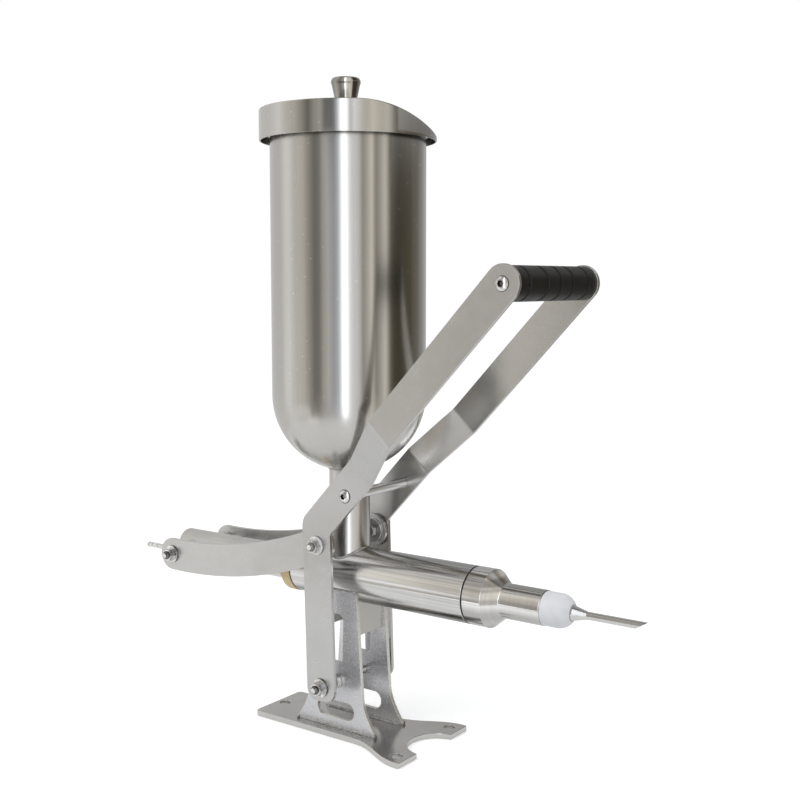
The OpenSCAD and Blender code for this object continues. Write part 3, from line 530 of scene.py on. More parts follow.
# the stops paint upright light and dark reflection bands across the neck
neckSteel = steelFinish(
    "neckTubeSteelPaintedBands", dark=(0.54, 0.535, 0.52), light=(0.60, 0.595, 0.58), cloudScale=20, brushScale=420,
    brush=(1, 1, 0.01), brushDepth=0.12, rough=(0.28, 0.33), grainScale=1500, grainStretch=(1, 1, 0.02), bump=0.06,
    along=(0, 0, 1), drawn=0.6, sweep=acrossView, stops=[
        (-20, 1.0), (-8, 0.9), (-5, 0.8), (-1, 1.3), (4, 1.2), (8, 1.45), (12, 1.45), (15, 1.05), (20, 1.3)])

turnedLook = dict(
    dark=(0.59, 0.582, 0.565), light=(0.64, 0.632, 0.62), cloudScale=12, brushScale=500, brush=(1, 0.02, 0.02),
    rough=(0.13, 0.17), grainScale=1800, grainStretch=(1, 0.02, 0.02), bump=0.08, along=(1, 0, 0), drawn=0.7)
turnedSteel = steelFinish("turnedSteel", **turnedLook)
# the stops paint lengthwise reflection bands and painted shade at the lower edge, down to 0.25; the strong lengthwise
# streaks of the brush noise are painted reflections too
barrelSteel = steelFinish("barrelSteelPaintedReflections", **dict(
    turnedLook, brushScale=340, brush=(0.008, 1, 1), brushDepth=0.26, dark=(0.66, 0.655, 0.645),
    light=(0.76, 0.755, 0.745), rough=(0.15, 0.19), sweep=upwards, stops=[
        (131, 0.25), (138.5, 0.3), (141.5, 0.7), (145, 1.0), (154.5, 1.0), (157.5, 0.8), (160.5, 0.9), (163, 1.1),
        (166, 1.35), (169.5, 1.2), (172.5, 0.92), (176, 0.8), (179, 0.95), (181, 1.05), (183.5, 0.85), (185.5, 0.5)]))
# the stops paint lengthwise reflection bands on the cap, and painted shade at its lower edge
capSteel = steelFinish("turnedCapSteelPaintedBands", **turnedLook, sweep=upwards, stops=[
    (131, 0.5), (138, 0.9), (145, 0.75), (150, 0.8), (153, 1.0), (156.5, 1.3), (159, 1.0), (161.5, 1.0), (164, 1.5),
    (167.5, 1.5), (170, 0.9), (172, 1.1), (174, 0.65), (178, 0.7), (180.5, 1.4), (182.5, 1.4), (185, 0.9)])
# painted reflection bands along the cross bar: a highlight near its middle and dark lines at its edges
barPaintedBands = [(-5, 0.35), (-4.4, 0.8), (-1.5, 0.85), (-0.5, 1.15), (1.5, 1.15), (2.3, 0.45), (2.9, 0.45), (3.6, 1.1),
            (4.5, 0.9), (5, 0.3)]     # from the bar's middle
barSteel = steelFinish("crossBarSteelPaintedBands", **dict(
    turnedLook, metallic=0.62, dark=(0.66, 0.655, 0.64), light=(0.86, 0.855, 0.84), cloudScale=150,
    rough=(0.14, 0.18), cloudStretch=(1, 0.01, 1), brush=(1, 0.01, 1), brushDepth=0.2, along=(0, 1, 0),
    sweep=upwards, stops=[(crossBar[1] + d, f) for d, f in barPaintedBands]))
# the stops paint an upright highlight band across the view, with darker sides
knobSteel = steelFinish(
    "turnedKnobSteelPaintedBands", dark=(0.45, 0.44, 0.41), light=(0.53, 0.52, 0.49), cloudScale=30, brushScale=600,
    brush=(0.02, 0.02, 1), rough=(0.07, 0.11), grainScale=1800, grainStretch=(0.02, 0.02, 1), bump=0.10,
    sweep=acrossView, stops=[
        (-14, 0.6), (-9, 0.75), (-4, 1.0), (-2, 1.5), (2, 1.5), (4, 1.0), (6, 0.5), (14, 0.6)])
rodSteel = steelFinish(
    "greyRodSteel", metallic=0.9, dark=(0.50, 0.49, 0.47), light=(0.58, 0.57, 0.545), cloudScale=24,
    brushScale=400, brush=(0.03, 1, 1), rough=(0.26, 0.36), grainScale=900, bump=0.2)

# edge is painted shade and reflection: the near-black tone in sockets, thread grooves, hole and washer rims, and on
# every other nut side
boltLook = dict(
    dark=(0.42, 0.415, 0.405), light=(0.94, 0.935, 0.925), cloudScale=300, brushScale=700, rough=(0.08, 0.14),
    grainScale=1500, bump=0.12, edge=(0.06, 0.06, 0.06))
boltSteel = steelFinish("brightBoltSteel", **boltLook)
# a paler, less metallic copy of the bolt steel, so the bosses look lit: painted light; its edge tone is painted shade
# in the bore and at the seam
bossSteel = steelFinish("paleLitBossSteel", **dict(
    boltLook, metallic=0.7, dark=(0.40, 0.395, 0.385), light=(0.98, 0.975, 0.965), cloudScale=280,
    cloudStretch=(1, 0.25, 1), edge=(0.10, 0.10, 0.10)))
# a paler, less metallic copy of the bolt steel, so the link bolts and washers inside the lever look lit: painted
# light; its edge tone is painted shade
litInnerBoltSteel = steelFinish("paleLitBoltSteel", **dict(
    boltLook, metallic=0.4, dark=(0.62, 0.615, 0.605), light=(0.98, 0.975, 0.97), cloudScale=240,
    rough=(0.10, 0.16), edge=(0.10, 0.10, 0.10)))
weldLook = dict(
    metallic=0.95, dark=(0.34, 0.33, 0.32), light=(0.66, 0.65, 0.64), cloudScale=260, brushScale=900,
    brushDepth=0.2, rough=(0.22, 0.45), grainScale=1200, bump=0.5)
weldSteel = steelFinish("weldBeadSteel", **weldLook)
spatterSteel = steelFinish("darkSpatterSteel", **dict(
    weldLook, metallic=0.7, dark=(0.06, 0.06, 0.06), light=(1.0, 1.0, 0.99), cloudScale=620, rough=(0.25, 0.5),
    bump=0.4))


def plasticFinish(name, dark, light, cloudScale, rough, specular=0.5, depth=0.0, **look):
    # plastic or rubber: a slightly uneven tone, a satin skin and a fine grain in the bump
    material, tree, skin = newMaterial(name, inputs={"Specular IOR Level": specular})
    clouds = noise(tree, cloudScale, (1, 1, 1), 4.0, 0.6)
    setInputs(tree, skin, {"Base Color": ramp(tree, clouds, [(0.3, dark), (0.7, light)]),
                           "Roughness": mapRange(tree, clouds, *rough)})
    if depth:
        setInputs(tree, skin, {"Subsurface Weight": depth, "Subsurface Radius": (0.004, 0.004, 0.0035),
                               "Subsurface Scale": 1.0})
    fineGrain(tree, skin, {"grainStretch": (1, 1, 1), **look})
    return material


holderPlastic = plasticFinish("whiteHolderPlastic", (0.64, 0.65, 0.67), (0.70, 0.71, 0.73), 60, (0.28, 0.40),
                              depth=0.25, grainScale=900, bump=0.1)
bushPlastic = plasticFinish("tanBushPlastic", (0.66, 0.50, 0.25), (0.76, 0.61, 0.36), 50, (0.34, 0.46),
                            grainScale=800, grainStretch=(1, 0.05, 0.05), bump=0.3)
gripRubber = plasticFinish("blackGripRubber", (0.006, 0.006, 0.006), (0.012, 0.012, 0.012), 90, (0.36, 0.48),
                           specular=0.28, grainScale=1200, bump=0.25)
sealRubber = plasticFinish("blackSealRubber", (0.010, 0.010, 0.010), (0.018, 0.018, 0.018), 80, (0.5, 0.6),
                           specular=0.4, grainScale=900, bump=0.2)
print("finishes made")


# Hopper and neck

barrelShape = {"rear": -56.0, "front": 148.0, "radius": 27.0, "bore": 25.0}
hopperShape = {"radius": 75.0, "wall": 1.2, "centre": 336.0, "top": 584.0, "rim": 2.0, "sideStart": 8.0,
               "rimStart": 6.0, "port": 18.5, "neckRadius": 20.0, "barrelGap": 0.03, "bowlGap": 0.05}


def buildHopper(shape):
    # profile: half-round bottom (z = c - R cos t, r = R sin t), straight side, rolled rim, and the same inside
    radius, inner, centre, top = shape["radius"], shape["radius"] - shape["wall"], shape["centre"], shape["top"]
    bowl = lambda r, t: np.stack([centre - r * np.cos(t), r * np.sin(t)], 1)
    straight = lambda r, start, end, rows: np.stack([np.linspace(start, end, rows), np.full(rows, r)], 1)
    outer = bowl(radius, np.linspace(math.asin(shape["port"] / radius), np.pi / 2, 40))
    side = straight(radius, centre + shape["sideStart"], top - shape["rimStart"], 24)
    turn = np.linspace(-np.pi / 2, np.pi, 20)
    rim = np.stack([top + shape["rim"] * np.sin(turn), radius + shape["rim"] * np.cos(turn)], 1)
    rim = rim[rim[:, 1] > inner]
    down = straight(inner, top, centre + shape["sideStart"], 12)
    inside = bowl(inner, np.linspace(np.pi / 2, math.asin(shape["port"] / inner), 40))
    profile = np.concatenate([outer, side, rim, down, inside])
    within = np.arange(len(profile)) >= len(profile) - len(down) - len(inside)
    count = 160
    return (*solidFromRings(turnedRings(profile, alongZ(), count), True), np.repeat(-1.0 * within, count))


def buildNeck(shape):
    # a tube whose lower edge follows the barrel: z = axis + sqrt(R^2 - y^2), and whose upper edge
    # follows the half-round bottom of the hopper: z = c - sqrt(R^2 - r^2)
    a, rows = fullTurn(96), 14
    barrel, bowl = barrelShape["radius"] + shape["barrelGap"], shape["radius"] + shape["bowlGap"]
    outer, inner = shape["neckRadius"], shape["port"]

    def wall(r):
        low = axisHeight + np.sqrt(barrel ** 2 - (r * np.sin(a)) ** 2)
        high = shape["centre"] - math.sqrt(bowl ** 2 - r ** 2)
        return low + (high - low) * np.linspace(0, 1, rows)[:, None]

    r = np.repeat([outer, inner], rows)[:, None] + 0 * a
    z = np.concatenate([wall(outer), wall(inner)[::-1]])
    return solidFromRings(np.stack([r * np.cos(a), r * np.sin(a), z], -1), True)


meshPiece("hopperShell", [buildHopper(hopperShape)], "stand", hopperSteel, "hopper")
meshPiece("hopperNeckTube", [buildNeck(hopperShape)], "stand", neckSteel, "hopper_neck")
print("hopper done")


# Lid

lidShape = {"radius": 85.0, "wall": 1.5, "top": 607.73, "bottom": 578.73, "roll": 112.0, "rollStart": 14.0,
            "turn": 35.0, "edge": 1.2, "lip": 0.4}
knobShape = {
    "offset": 2.0,
    "profile": [[0, 0], [0, 10], [3, 10], [3.4, 9.1], [24, 13.5], [27, 14.5], [31, 13.0], [31, 0]],
    "soft": [0, 0.5, 0.6, 0.8, 6, 3.5, 3.2, 0]}
lidTurn = math.radians(lidShape["turn"])


def buildLid(shape):
    # the skin in rings: middle to edge on top, down the side, back up inside and in to the middle
    a = fullTurn(240)
    radius, wall, bottom, edge, lip = (shape[k] for k in ("radius", "wall", "bottom", "edge", "lip"))
    rings = []

    def ring(r, z):
        x, y = r * np.cos(a), r * np.sin(a)
        rings.append(np.stack([x * math.cos(lidTurn) - y * math.sin(lidTurn),
                               x * math.sin(lidTurn) + y * math.cos(lidTurn), z + 0 * a], -1))

    def height(r, inset=0.0):
        # flat up to the start of the roll, then a round: z = top - R + sqrt(R^2 - (x - start)^2)
        roll = shape["roll"] - inset
        past = np.maximum(r * np.cos(a) - shape["rollStart"], 0)
        return shape["top"] - inset - roll + np.sqrt(roll ** 2 - past ** 2)

    for r in np.linspace(0, radius - edge, 36):
        ring(r, height(r))
    sideTop = height(radius - edge) - edge
    for t in np.linspace(0, np.pi / 2, 6)[1:]:
        ring(radius - edge + edge * math.sin(t), sideTop + edge * math.cos(t))
    for share in np.linspace(0, 1, 8)[1:]:
        ring(radius, sideTop + (bottom + 0.5 - sideTop) * share)
    ring(radius - lip, bottom)
    ring(radius - wall, bottom)
    for r in np.linspace(radius - wall, 0, 30):
        ring(r, np.maximum(height(r, wall), bottom + lip))
    return solidFromRings(np.array(rings))


meshPiece("lidCap", [buildLid(lidShape)], "lid", lidSteel, "lid", sharp=40)
knobBack = -knobShape["offset"]
knobPlace = alongZ(knobBack * math.cos(lidTurn), knobBack * math.sin(lidTurn), lidShape["top"])
meshPiece("lidKnob", [turned(knobShape["profile"], knobPlace, knobShape["soft"], steps=7)], "lid", knobSteel,
          "lid_knob")
print("lid done")


# Barrel, nozzle cap, holder and needle

capShape = {
    "profile": [[136, 24.9], [149.5, 24.9], [149.5, 27], [168.5, 27], [181.5, 16], [222.5, 16], [222.5, 11],
                [181.5, 11], [168.5, 21], [136, 21]],
    "soft": [0.3, 0.1, 0.7, 0.9, 2.0, 0.8, 0.3, 0.5, 0.5, 0.3],
    "gasket": (148.3, 149.5, 25.0, 26.4)}
holderShape = {"rear": 210.5, "shoulder": 222.6, "tip": 248.5, "plug": 10.95, "radius": 15.5, "mouth": 8.0,
               "bore": 7.0, "seat": 241.5, "seatBore": 7.05}
needleShape = {
    "cone": [[241.6, 5.5], [241.6, 7.0], [249.3, 7.0], [250.2, 6.6], [262.5, 3.5], [263.0, 3.5]],
    "inside": [250.0, 5.2], "tubeStart": 263.0, "end": 318.5, "cut": 11.5, "radius": 3.5, "bore": 2.7}


def alongBarrel(name, profile, soft, body, material, node, count=96):
    # a ring-shaped piece turned about the barrel's axis
    meshPiece(name, [turned(profile, alongX(), soft, count, True)], body, material, node)


def holderProfile(shape):
    # plug in the cap, shoulder, then a dome: x = tip + R (sin t - sin end), r = R cos t
    radius = shape["radius"]
    end = math.acos(shape["mouth"] / radius)
    t = np.linspace(0, end, 14)[:-1]
    dome = np.stack([shape["tip"] + radius * (np.sin(t) - math.sin(end)), radius * np.cos(t)], 1)
    return np.concatenate([
        [[shape["rear"], shape["bore"]], [shape["rear"], shape["plug"]], [shape["shoulder"], shape["plug"]],
         [shape["shoulder"], radius]], dome,
        [[shape["tip"], shape["mouth"] + 0.2], [shape["tip"], shape["seatBore"]],
         [shape["seat"], shape["seatBore"]]]])


def buildNeedle(shape):
    # cone and tube turned about the barrel axis; at the tip the rings lean along the slanted cut:
    # x = end - cut (top - z) / diameter
    a, share = fullTurn(64), np.linspace(0, 1, 12)[:, None]
    start, radius, bore, cone = shape["tubeStart"], shape["radius"], shape["bore"], np.array(shape["cone"])
    tip = lambda r: shape["end"] - shape["cut"] * (radius - r * np.sin(a)) / (2 * radius)
    tube = lambda r, k: start + (tip(r) - start) * k
    s = np.concatenate([cone[:, :1] + 0 * a, tube(radius, share[1:]), tube(bore, share[::-1]),
                        [shape["inside"][0] + 0 * a]])
    r = np.concatenate([cone[:, 1], [radius] * 11, [bore] * 12, shape["inside"][1:]])[:, None]
    return solidFromRings(np.stack([s, r * np.cos(a), axisHeight + r * np.sin(a)], -1), True)


alongBarrel("barrelTube", band(*(barrelShape[k] for k in ("rear", "front", "bore", "radius"))), 0.6, "stand",
            barrelSteel, "barrel", 128)
alongBarrel("nozzleCap", capShape["profile"], capShape["soft"], "stand", capSteel, "nozzle_cap", 128)
alongBarrel("nozzleHolder", holderProfile(holderShape), 0.4, "stand", holderPlastic, "nozzle_holder")
meshPiece("fillingNeedle", [buildNeedle(needleShape)], "stand", turnedSteel, "filling_needle")
alongBarrel("capGasketRing", band(*capShape["gasket"]), 0.3, "stand", sealRubber, "cap_gasket")
print("barrel and nozzle done")


# Washers, nuts and screws, the same on both sides

boltShape = {"size": 8, "bore": 4.1, "thread": 3.98, "pitch": 1.25, "groove": 0.13, "tip": 1.2,
             "threadLength": 8.0, "threadShare": 0.6,     # ridges on so much of the bolt, but not on more
             "washerRadius": 1.15, "nutHeight": 0.8,      # shares of the size
             "washer": 1.5, "washerEdge": 0.25, "washerRim": 0.12}


def washer(point, y0, flip, shape=boltShape):
    # a turned band whose rim is darker: painted shade
    outer = shape["washerRadius"] * shape["size"]
    profile = band(0, shape["washer"], shape["bore"], outer)
    return turned(profile, alongY(point, y0, flip), shape["washerEdge"], 64, True,
                  mark=lambda t, r: np.where(r > outer - shape["washerRim"], 0.7, 0))


def nutAcross(point, y0, flip, shape=boltShape):
    return hexNut(alongY(point, y0, flip), shape["size"], shape["bore"], shape["nutHeight"] * shape["size"])


def threadedEnd(point, start, end, flip, shape=boltShape):
    # a straight shank, then ridges to the tip: the radius swings between full and 0.87 of it, once per pitch
    radius, pitch, tip = shape["thread"], shape["pitch"], shape["tip"]
    length = min(shape["threadLength"], shape["threadShare"] * (end - start))
    swing = np.arange(math.floor(2 * (length - tip) / pitch))[::-1]
    ridges = np.stack([end - tip - swing * pitch / 2, radius * (1 - shape["groove"] * (swing % 2))], 1)
    profile = np.concatenate([[[start, 0], [start, radius]], ridges,
                              [[end - 0.7, 0.85 * radius], [end, 0.66 * radius], [end, 0]]])
    # the faces between the ridges' crests are darker: painted shade in the grooves
    return turned(profile, alongY(point, 0.0, flip), 0.12, 48, steps=2,
                  mark=lambda t, r: np.where((r < 0.95 * radius) & (r > 0.6 * radius), 0.9, 0))


def pinAcross(point, half, radius, edge):
    return turned(band(-half, half, 0, radius), alongY(point), edge, 48)


def onBothSides(name, part, point, y0, body, node):
    # washers or nuts at a point, on the left and the right at the same distance from the middle plane
    meshPiece(name, [part(point, y0, flip) for flip in bothSides], body, boltSteel, node,
              sharp=25 if part is nutAcross else 32)


# Guide bush, collar and piston rod

rodShape = {"rear": -228.27, "front": -38.5, "radius": 15.5, "bore": 12.5}
bushShape = {
    "profile": [[-78.2, 15.55], [-78.2, 20], [-77.2, 20.5], [-68.2, 27.5], [-57.2, 27.5], [-57.2, 24.9],
                [-51, 24.9], [-51, 15.55]],
    "gasket": (-57.2, -56, 25.1, 26.6), "collar": (-105.2, -78.2, 15.55, 18.75)}
crossheadShape = {
    "half": 39.4, "radius": 10, "studEnd": 43, "stud": 4, "thread": (42.5, 54.9),
    "stopAt": (-26, 26), "stopBehind": 56, "stopFront": -159.2, "stopRadius": 2.75,
    "nutAt": (-14.45, 10.05), "nutSize": 5.5, "nutHeight": 4.4}


def crossheadParts(shape):
    # a bar along y with a thinner stud at each end: [distance from the middle, radius] turned about its line
    half, radius, end, stud = (shape[k] for k in ("half", "radius", "studEnd", "stud"))
    profile = [[-end, 0], [-end, stud], [-half, stud], [-half, radius], [half, radius], [half, stud], [end, stud],
               [end, 0]]
    bar = turned(profile, alongY(crosshead), [0, 0.1, 0.1, 0.8, 0.8, 0.1, 0.1, 0], 72)
    return [bar] + [threadedEnd(crosshead, *shape["thread"], flip) for flip in bothSides]


def stopParts(shape):
    # two rods beside the piston rod, and two nuts on each, in front of the crosshead and behind it
    rodLine = band(float(crosshead[0]) - shape["stopBehind"], shape["stopFront"], 0, shape["stopRadius"])
    rods = [turned(rodLine, alongX(float(crosshead[1]), y), 0.5, 32) for y in shape["stopAt"]]
    nuts = [hexNut(alongX(crosshead[1], y, crosshead[0] + x), shape["nutSize"], shape["nutSize"] / 2 + 0.05,
                   shape["nutHeight"]) for y in shape["stopAt"] for x in shape["nutAt"]]
    return rods, nuts


alongBarrel("guideBush", bushShape["profile"], 0.6, "stand", bushPlastic, "guide_bush")
alongBarrel("bushGasketRing", band(*bushShape["gasket"]), 0.2, "stand", sealRubber, "bush_gasket")
alongBarrel("glandCollar", band(*bushShape["collar"]), 0.8, "stand", turnedSteel, "gland_collar")
alongBarrel("pistonRodTube", band(*(rodShape[k] for k in ("rear", "front", "bore", "radius"))), 1.3, "piston",
            rodSteel, "piston_rod")
meshPiece("crossheadBar", crossheadParts(crossheadShape), "piston", boltSteel, "crosshead_bar")
stopRods, stopNuts = stopParts(crossheadShape)
meshPiece("stopRods", stopRods, "piston", boltSteel, "stop_rods")
meshPiece("stopRodNuts", stopNuts, "piston", boltSteel, "stop_nuts", sharp=25)
print("piston side done")


# Fasteners across the machine: distances from the middle plane

axleShape = {"half": 48, "radius": 4, "thread": (47.5, 59.7),
             "boss": (0, 6, 4.1, 7), "bossSeam": 0.5, "bossBore": 4.6, "collar": 42.7,
             "washer": 48.8, "nut": 50.3, "crossheadWasher": 44.0, "crossheadNut": 45.5}


def boss(flip, shape):
    # a turned band on the side plate, with painted shade in its bore and at the seam
    shade = lambda t, r: np.where(r < shape["bossBore"], 0.9, np.where(t < shape["bossSeam"], 0.7, 0.0))
    return turned(band(*shape["boss"]), alongY(pivot, machine["plateOuter"], flip), 0.5, 64, True, mark=shade)


meshPiece("leverAxle", [pinAcross(pivot, axleShape["half"], axleShape["radius"], 0.3)]
          + [threadedEnd(pivot, *axleShape["thread"], flip) for flip in bothSides],
          "stand", boltSteel, "pivot_axle")
meshPiece("axleBosses", [boss(flip, axleShape) for flip in bothSides], "stand", bossSteel,
          "axle_bosses")
onBothSides("axleCollars", washer, pivot, axleShape["collar"], "stand", "axle_collars")
onBothSides("axleWashers", washer, pivot, axleShape["washer"], "stand", "axle_washers")
onBothSides("axleNuts", nutAcross, pivot, axleShape["nut"], "stand", "axle_nuts")
onBothSides("crossheadWashers", washer, crosshead, axleShape["crossheadWasher"], "piston", "crosshead_washers")
onBothSides("crossheadNuts", nutAcross, crosshead, axleShape["crossheadNut"], "piston", "crosshead_nuts")
print("fasteners done")


# Links

linkShape = {"bow": 11.0, "width": 33.5, "thickness": 4.0, "rearEye": 4.05, "frontEye": 8.5, "edge": 0.5}


def buildLink(shape):
    # a strip of constant width along an arc that hangs by the bow below the line between its pins
    length, bow, half = machine["linkLength"], shape["bow"], shape["width"] / 2
    bend = length ** 2 / (8 * bow) + bow / 2
    direction = (linkPin - crosshead) / length
    centre = (linkPin + crosshead) / 2 + (bend - bow) * np.array([-direction[1], direction[0]])
    start = math.atan2(*(crosshead - centre)[::-1])
    end = math.atan2(*(linkPin - centre)[::-1])
    arc = lambda c, r, t: np.stack([c[0] + r * np.cos(t), c[1] + r * np.sin(t)], 1)
    outline = np.concatenate([
        arc(centre, bend + half, np.linspace(start, end, 40)),
        arc(linkPin, half, np.linspace(end, end + np.pi, 24)[1:-1]),
        arc(centre, bend - half, np.linspace(end, start, 40)),
        arc(crosshead, half, np.linspace(start + np.pi, start + 2 * np.pi, 24)[1:-1])])
    place = lambda u, v, w: np.stack([u, machine["linkInner"] + w, v], -1)
    eyes = [circleLoop(crosshead, shape["rearEye"]), circleLoop(linkPin, shape["frontEye"])]
    return cutPlate(outline, eyes, shape["thickness"], place, shape["edge"])


platePair(("linkRight", "linkLeft"), buildLink(linkShape), "links", (plateSteel, plateSteel),
          ("link_right", "link_left"))


# Lever plates

leverShape = {"legWidth": 34.0, "armWidth": 33.0, "drop": 13.5, "corner": 12.0, "bendStart": 79.0, "bendEnd": 135.5,
              "thickness": 4.0, "bendSoft": 0.9, "kneeInner": 3.0, "edge": 0.5, "pivotHole": 4.05, "pinHole": 4.1,
              "screwHole": 3.1, "legReach": 40.0,
              "slopeRows": (93, 121, 4), "armRows": (200.0, 260.0)}     # further points along the arm


def armOutset(s, shape):
    # distance outwards along the arm: none, a straight slope between the two bends, then all of it;
    # each bend is the parabola (x + h)^2 / 4h that joins its two straight sides
    rampTop = machine["armInner"] - machine["legInner"]
    slope = rampTop / (shape["bendEnd"] - shape["bendStart"])
    half = shape["bendSoft"]
    soft = lambda x: np.where(x < -half, 0, np.where(x > half, x, (x + half) ** 2 / (4 * half)))
    return slope * (soft(s - shape["bendStart"]) - soft(s - shape["bendEnd"]))


def buildLever(shape):
    # outline in the side view: leg, round knee, arm and round end, with points across both bends;
    # the plate stands at the leg's distance from the middle plane plus armOutset
    legHalf, armHalf = shape["legWidth"] / 2, shape["armWidth"] / 2
    corner = lambda u, v: pivot + u * legAcross + v * legUp
    along = lambda s, t: knee + s * armAlong + t * armUp
    # where the leg's front edge meets the arm's lower edge
    legFront = pivot + legHalf * legAcross
    meet = np.linalg.solve(np.stack([legUp, -armAlong], 1), knee - armHalf * armUp - legFront)
    bendAt = np.linspace(-shape["bendSoft"], shape["bendSoft"], 5)
    stations = np.concatenate([shape["bendStart"] + bendAt, np.linspace(*shape["slopeRows"]),
                               shape["bendEnd"] + bendAt])
    further = np.array(shape["armRows"])[:, None]
    end = np.linspace(-np.pi / 2, np.pi / 2, 33)[:, None]
    kneeTurn = np.linspace(rise + np.pi / 2, lean + np.pi, 14)
    kneeRadius = np.linspace(armHalf, legHalf, 14)[:, None]
    points = [[corner(-legHalf, -shape["drop"])], [corner(legHalf, -shape["drop"])], [legFront + meet[0] * legUp],
              along(stations[:, None], -armHalf), along(further, -armHalf),
              handle + armHalf * (np.cos(end) * armAlong + np.sin(end) * armUp),
              along(further[::-1], armHalf), along(stations[::-1][:, None], armHalf),
              knee + kneeRadius * np.stack([np.cos(kneeTurn), np.sin(kneeTurn)], 1)]
    flat = np.concatenate([np.asarray(p).reshape(-1, 2) for p in points])
    radius = np.zeros(len(flat))
    radius[:3] = [shape["corner"], shape["corner"], shape["kneeInner"]]
    outline = softCorners(flat, radius, 10)
    near = lambda p: int(np.argmin(np.linalg.norm(outline - p, axis=1)))
    folds = [(near(along(s, -armHalf)), near(along(s, armHalf))) for s in stations]

    def place(u, v, w):
        s = (u - knee[0]) * armAlong[0] + (v - knee[1]) * armAlong[1]
        out = np.where(s > shape["legReach"], armOutset(s, shape), 0.0)
        return np.stack([u, machine["legInner"] + w + out, v], -1)

    holes = [circleLoop(point, shape[size], 32) for point, size in (
        (pivot, "pivotHole"), (linkPin, "pinHole"), (crossBar, "screwHole"), (handle, "screwHole"))]
    return cutPlate(outline, holes, shape["thickness"], place, shape["edge"], folds)


platePair(("leverPlateRight", "leverPlateLeft"), buildLever(leverShape), "lever", (nearPlateSteel, farPlateSteel),
          ("lever_arm_right", "lever_arm_left"))

# Cross bar, handle and their screws

handleShape = {"barHalf": 44.5, "barRadius": 5, "barEdge": 0.5, "coreHalf": 67.5, "coreRadius": 9, "coreEdge": 0.4}
gripShape = {"radius": 15.25, "half": 66.5, "grooves": (-50.8, -20.7, 2.1, 23.8, 52.1), "width": 1.5, "depth": 3.0,
             "reach": 2.8, "bore": 9.05}


def buildGrip(shape):
    # radius along the handle: full, less a steep groove at each place: depth * exp(-((y - g) / width)^4)
    half, radius, grooves = shape["half"], shape["radius"], shape["grooves"]
    y = np.unique(np.concatenate([np.linspace(-half + 1, half - 1, 60)]
                                 + [g + np.linspace(-shape["reach"], shape["reach"], 33) for g in grooves]))
    r = radius - sum(shape["depth"] * np.exp(-((y - g) / shape["width"]) ** 4) for g in grooves)
    turn = np.linspace(0, np.pi / 2, 5)[:-1]
    start = np.stack([-half + 1 - np.cos(turn), radius - 1 + np.sin(turn)], 1)
    profile = np.concatenate([[[-half, shape["bore"]]], start, np.stack([y, r], 1), (start * [-1, 1])[::-1],
                              [[half, shape["bore"]]]])
    return solidFromRings(turnedRings(profile, alongY(handle), 96), True)


meshPiece("leverCrossBar", [pinAcross(crossBar, *(handleShape[k] for k in ("barHalf", "barRadius", "barEdge")))],
          "lever", barSteel, "lever_crossbar")
for name, point, face, node in (("crossBarScrews", crossBar, "legOuter", "crossbar_screws"),
                                ("handleScrews", handle, "armOuter", "handle_screws")):
    meshPiece(name, [domeScrew(alongY(point, machine[face], flip)) for flip in bothSides], "lever", boltSteel,
              node, sharp=25)
meshPiece("handleCore", [pinAcross(handle, *(handleShape[k] for k in ("coreHalf", "coreRadius", "coreEdge")))],
          "lever", turnedSteel, "handle_core")
meshPiece("handleGrip", [buildGrip(gripShape)], "lever", gripRubber, "handle_grip")

# Bolts between legs and links: distances from the middle plane

linkBoltShape = {"head": 32.9, "headSize": 8.7, "headHeight": 5.0, "thread": (37.6, 59.4), "washer": 48.5,
                 "nut": 50.0, "sleeve": 37.9, "sleeveWasher": (0, 1.5, 4.1, 12.5), "sleeveRim": 10.6}


def linkBolt(flip, shape):
    # head inside the link, shank through the link and the leg, thread beyond the nut
    head = hexNut(alongY(linkPin, shape["head"], flip), shape["headSize"], 0.01, shape["headHeight"])
    return [head, threadedEnd(linkPin, *shape["thread"], flip)]


def sleeveWasher(flip, shape):
    # a wide washer inside the link that covers its large front eye; the inner part of its face is darker: painted
    # shade
    return turned(band(*shape["sleeveWasher"]), alongY(linkPin, shape["sleeve"], flip), 0.3, 72, True,
                  mark=lambda t, r: np.where(r < shape["sleeveRim"], 0.75, 0.0))


meshPiece("linkBolts", linkBolt(False, linkBoltShape) + linkBolt(True, linkBoltShape), "lever", litInnerBoltSteel,
          "link_bolts", sharp=25)
meshPiece("linkWashers", [washer(linkPin, linkBoltShape["washer"], flip) for flip in bothSides]
          + [sleeveWasher(flip, linkBoltShape) for flip in bothSides], "lever", litInnerBoltSteel,
          "link_washers")
onBothSides("linkNuts", nutAcross, linkPin, linkBoltShape["nut"], "lever", "link_nuts")
print("lever done")


# Base plate and side plates

baseShape = {"thick": 5.5, "rear": 98.0, "front": 102.0, "half": 35.0, "toeHalf": 58.0, "toeStart": 32.0,
             "gapRadius": 29.0, "gapAt": 106.0, "hole": 5.5, "holesAt": ((90, 44), (90, -44), (-88, 0)),
             "corner": 5.0, "toeCorner": 3.0, "toeFlat": 4.0, "toeInner": 40.0, "edge": 0.7}


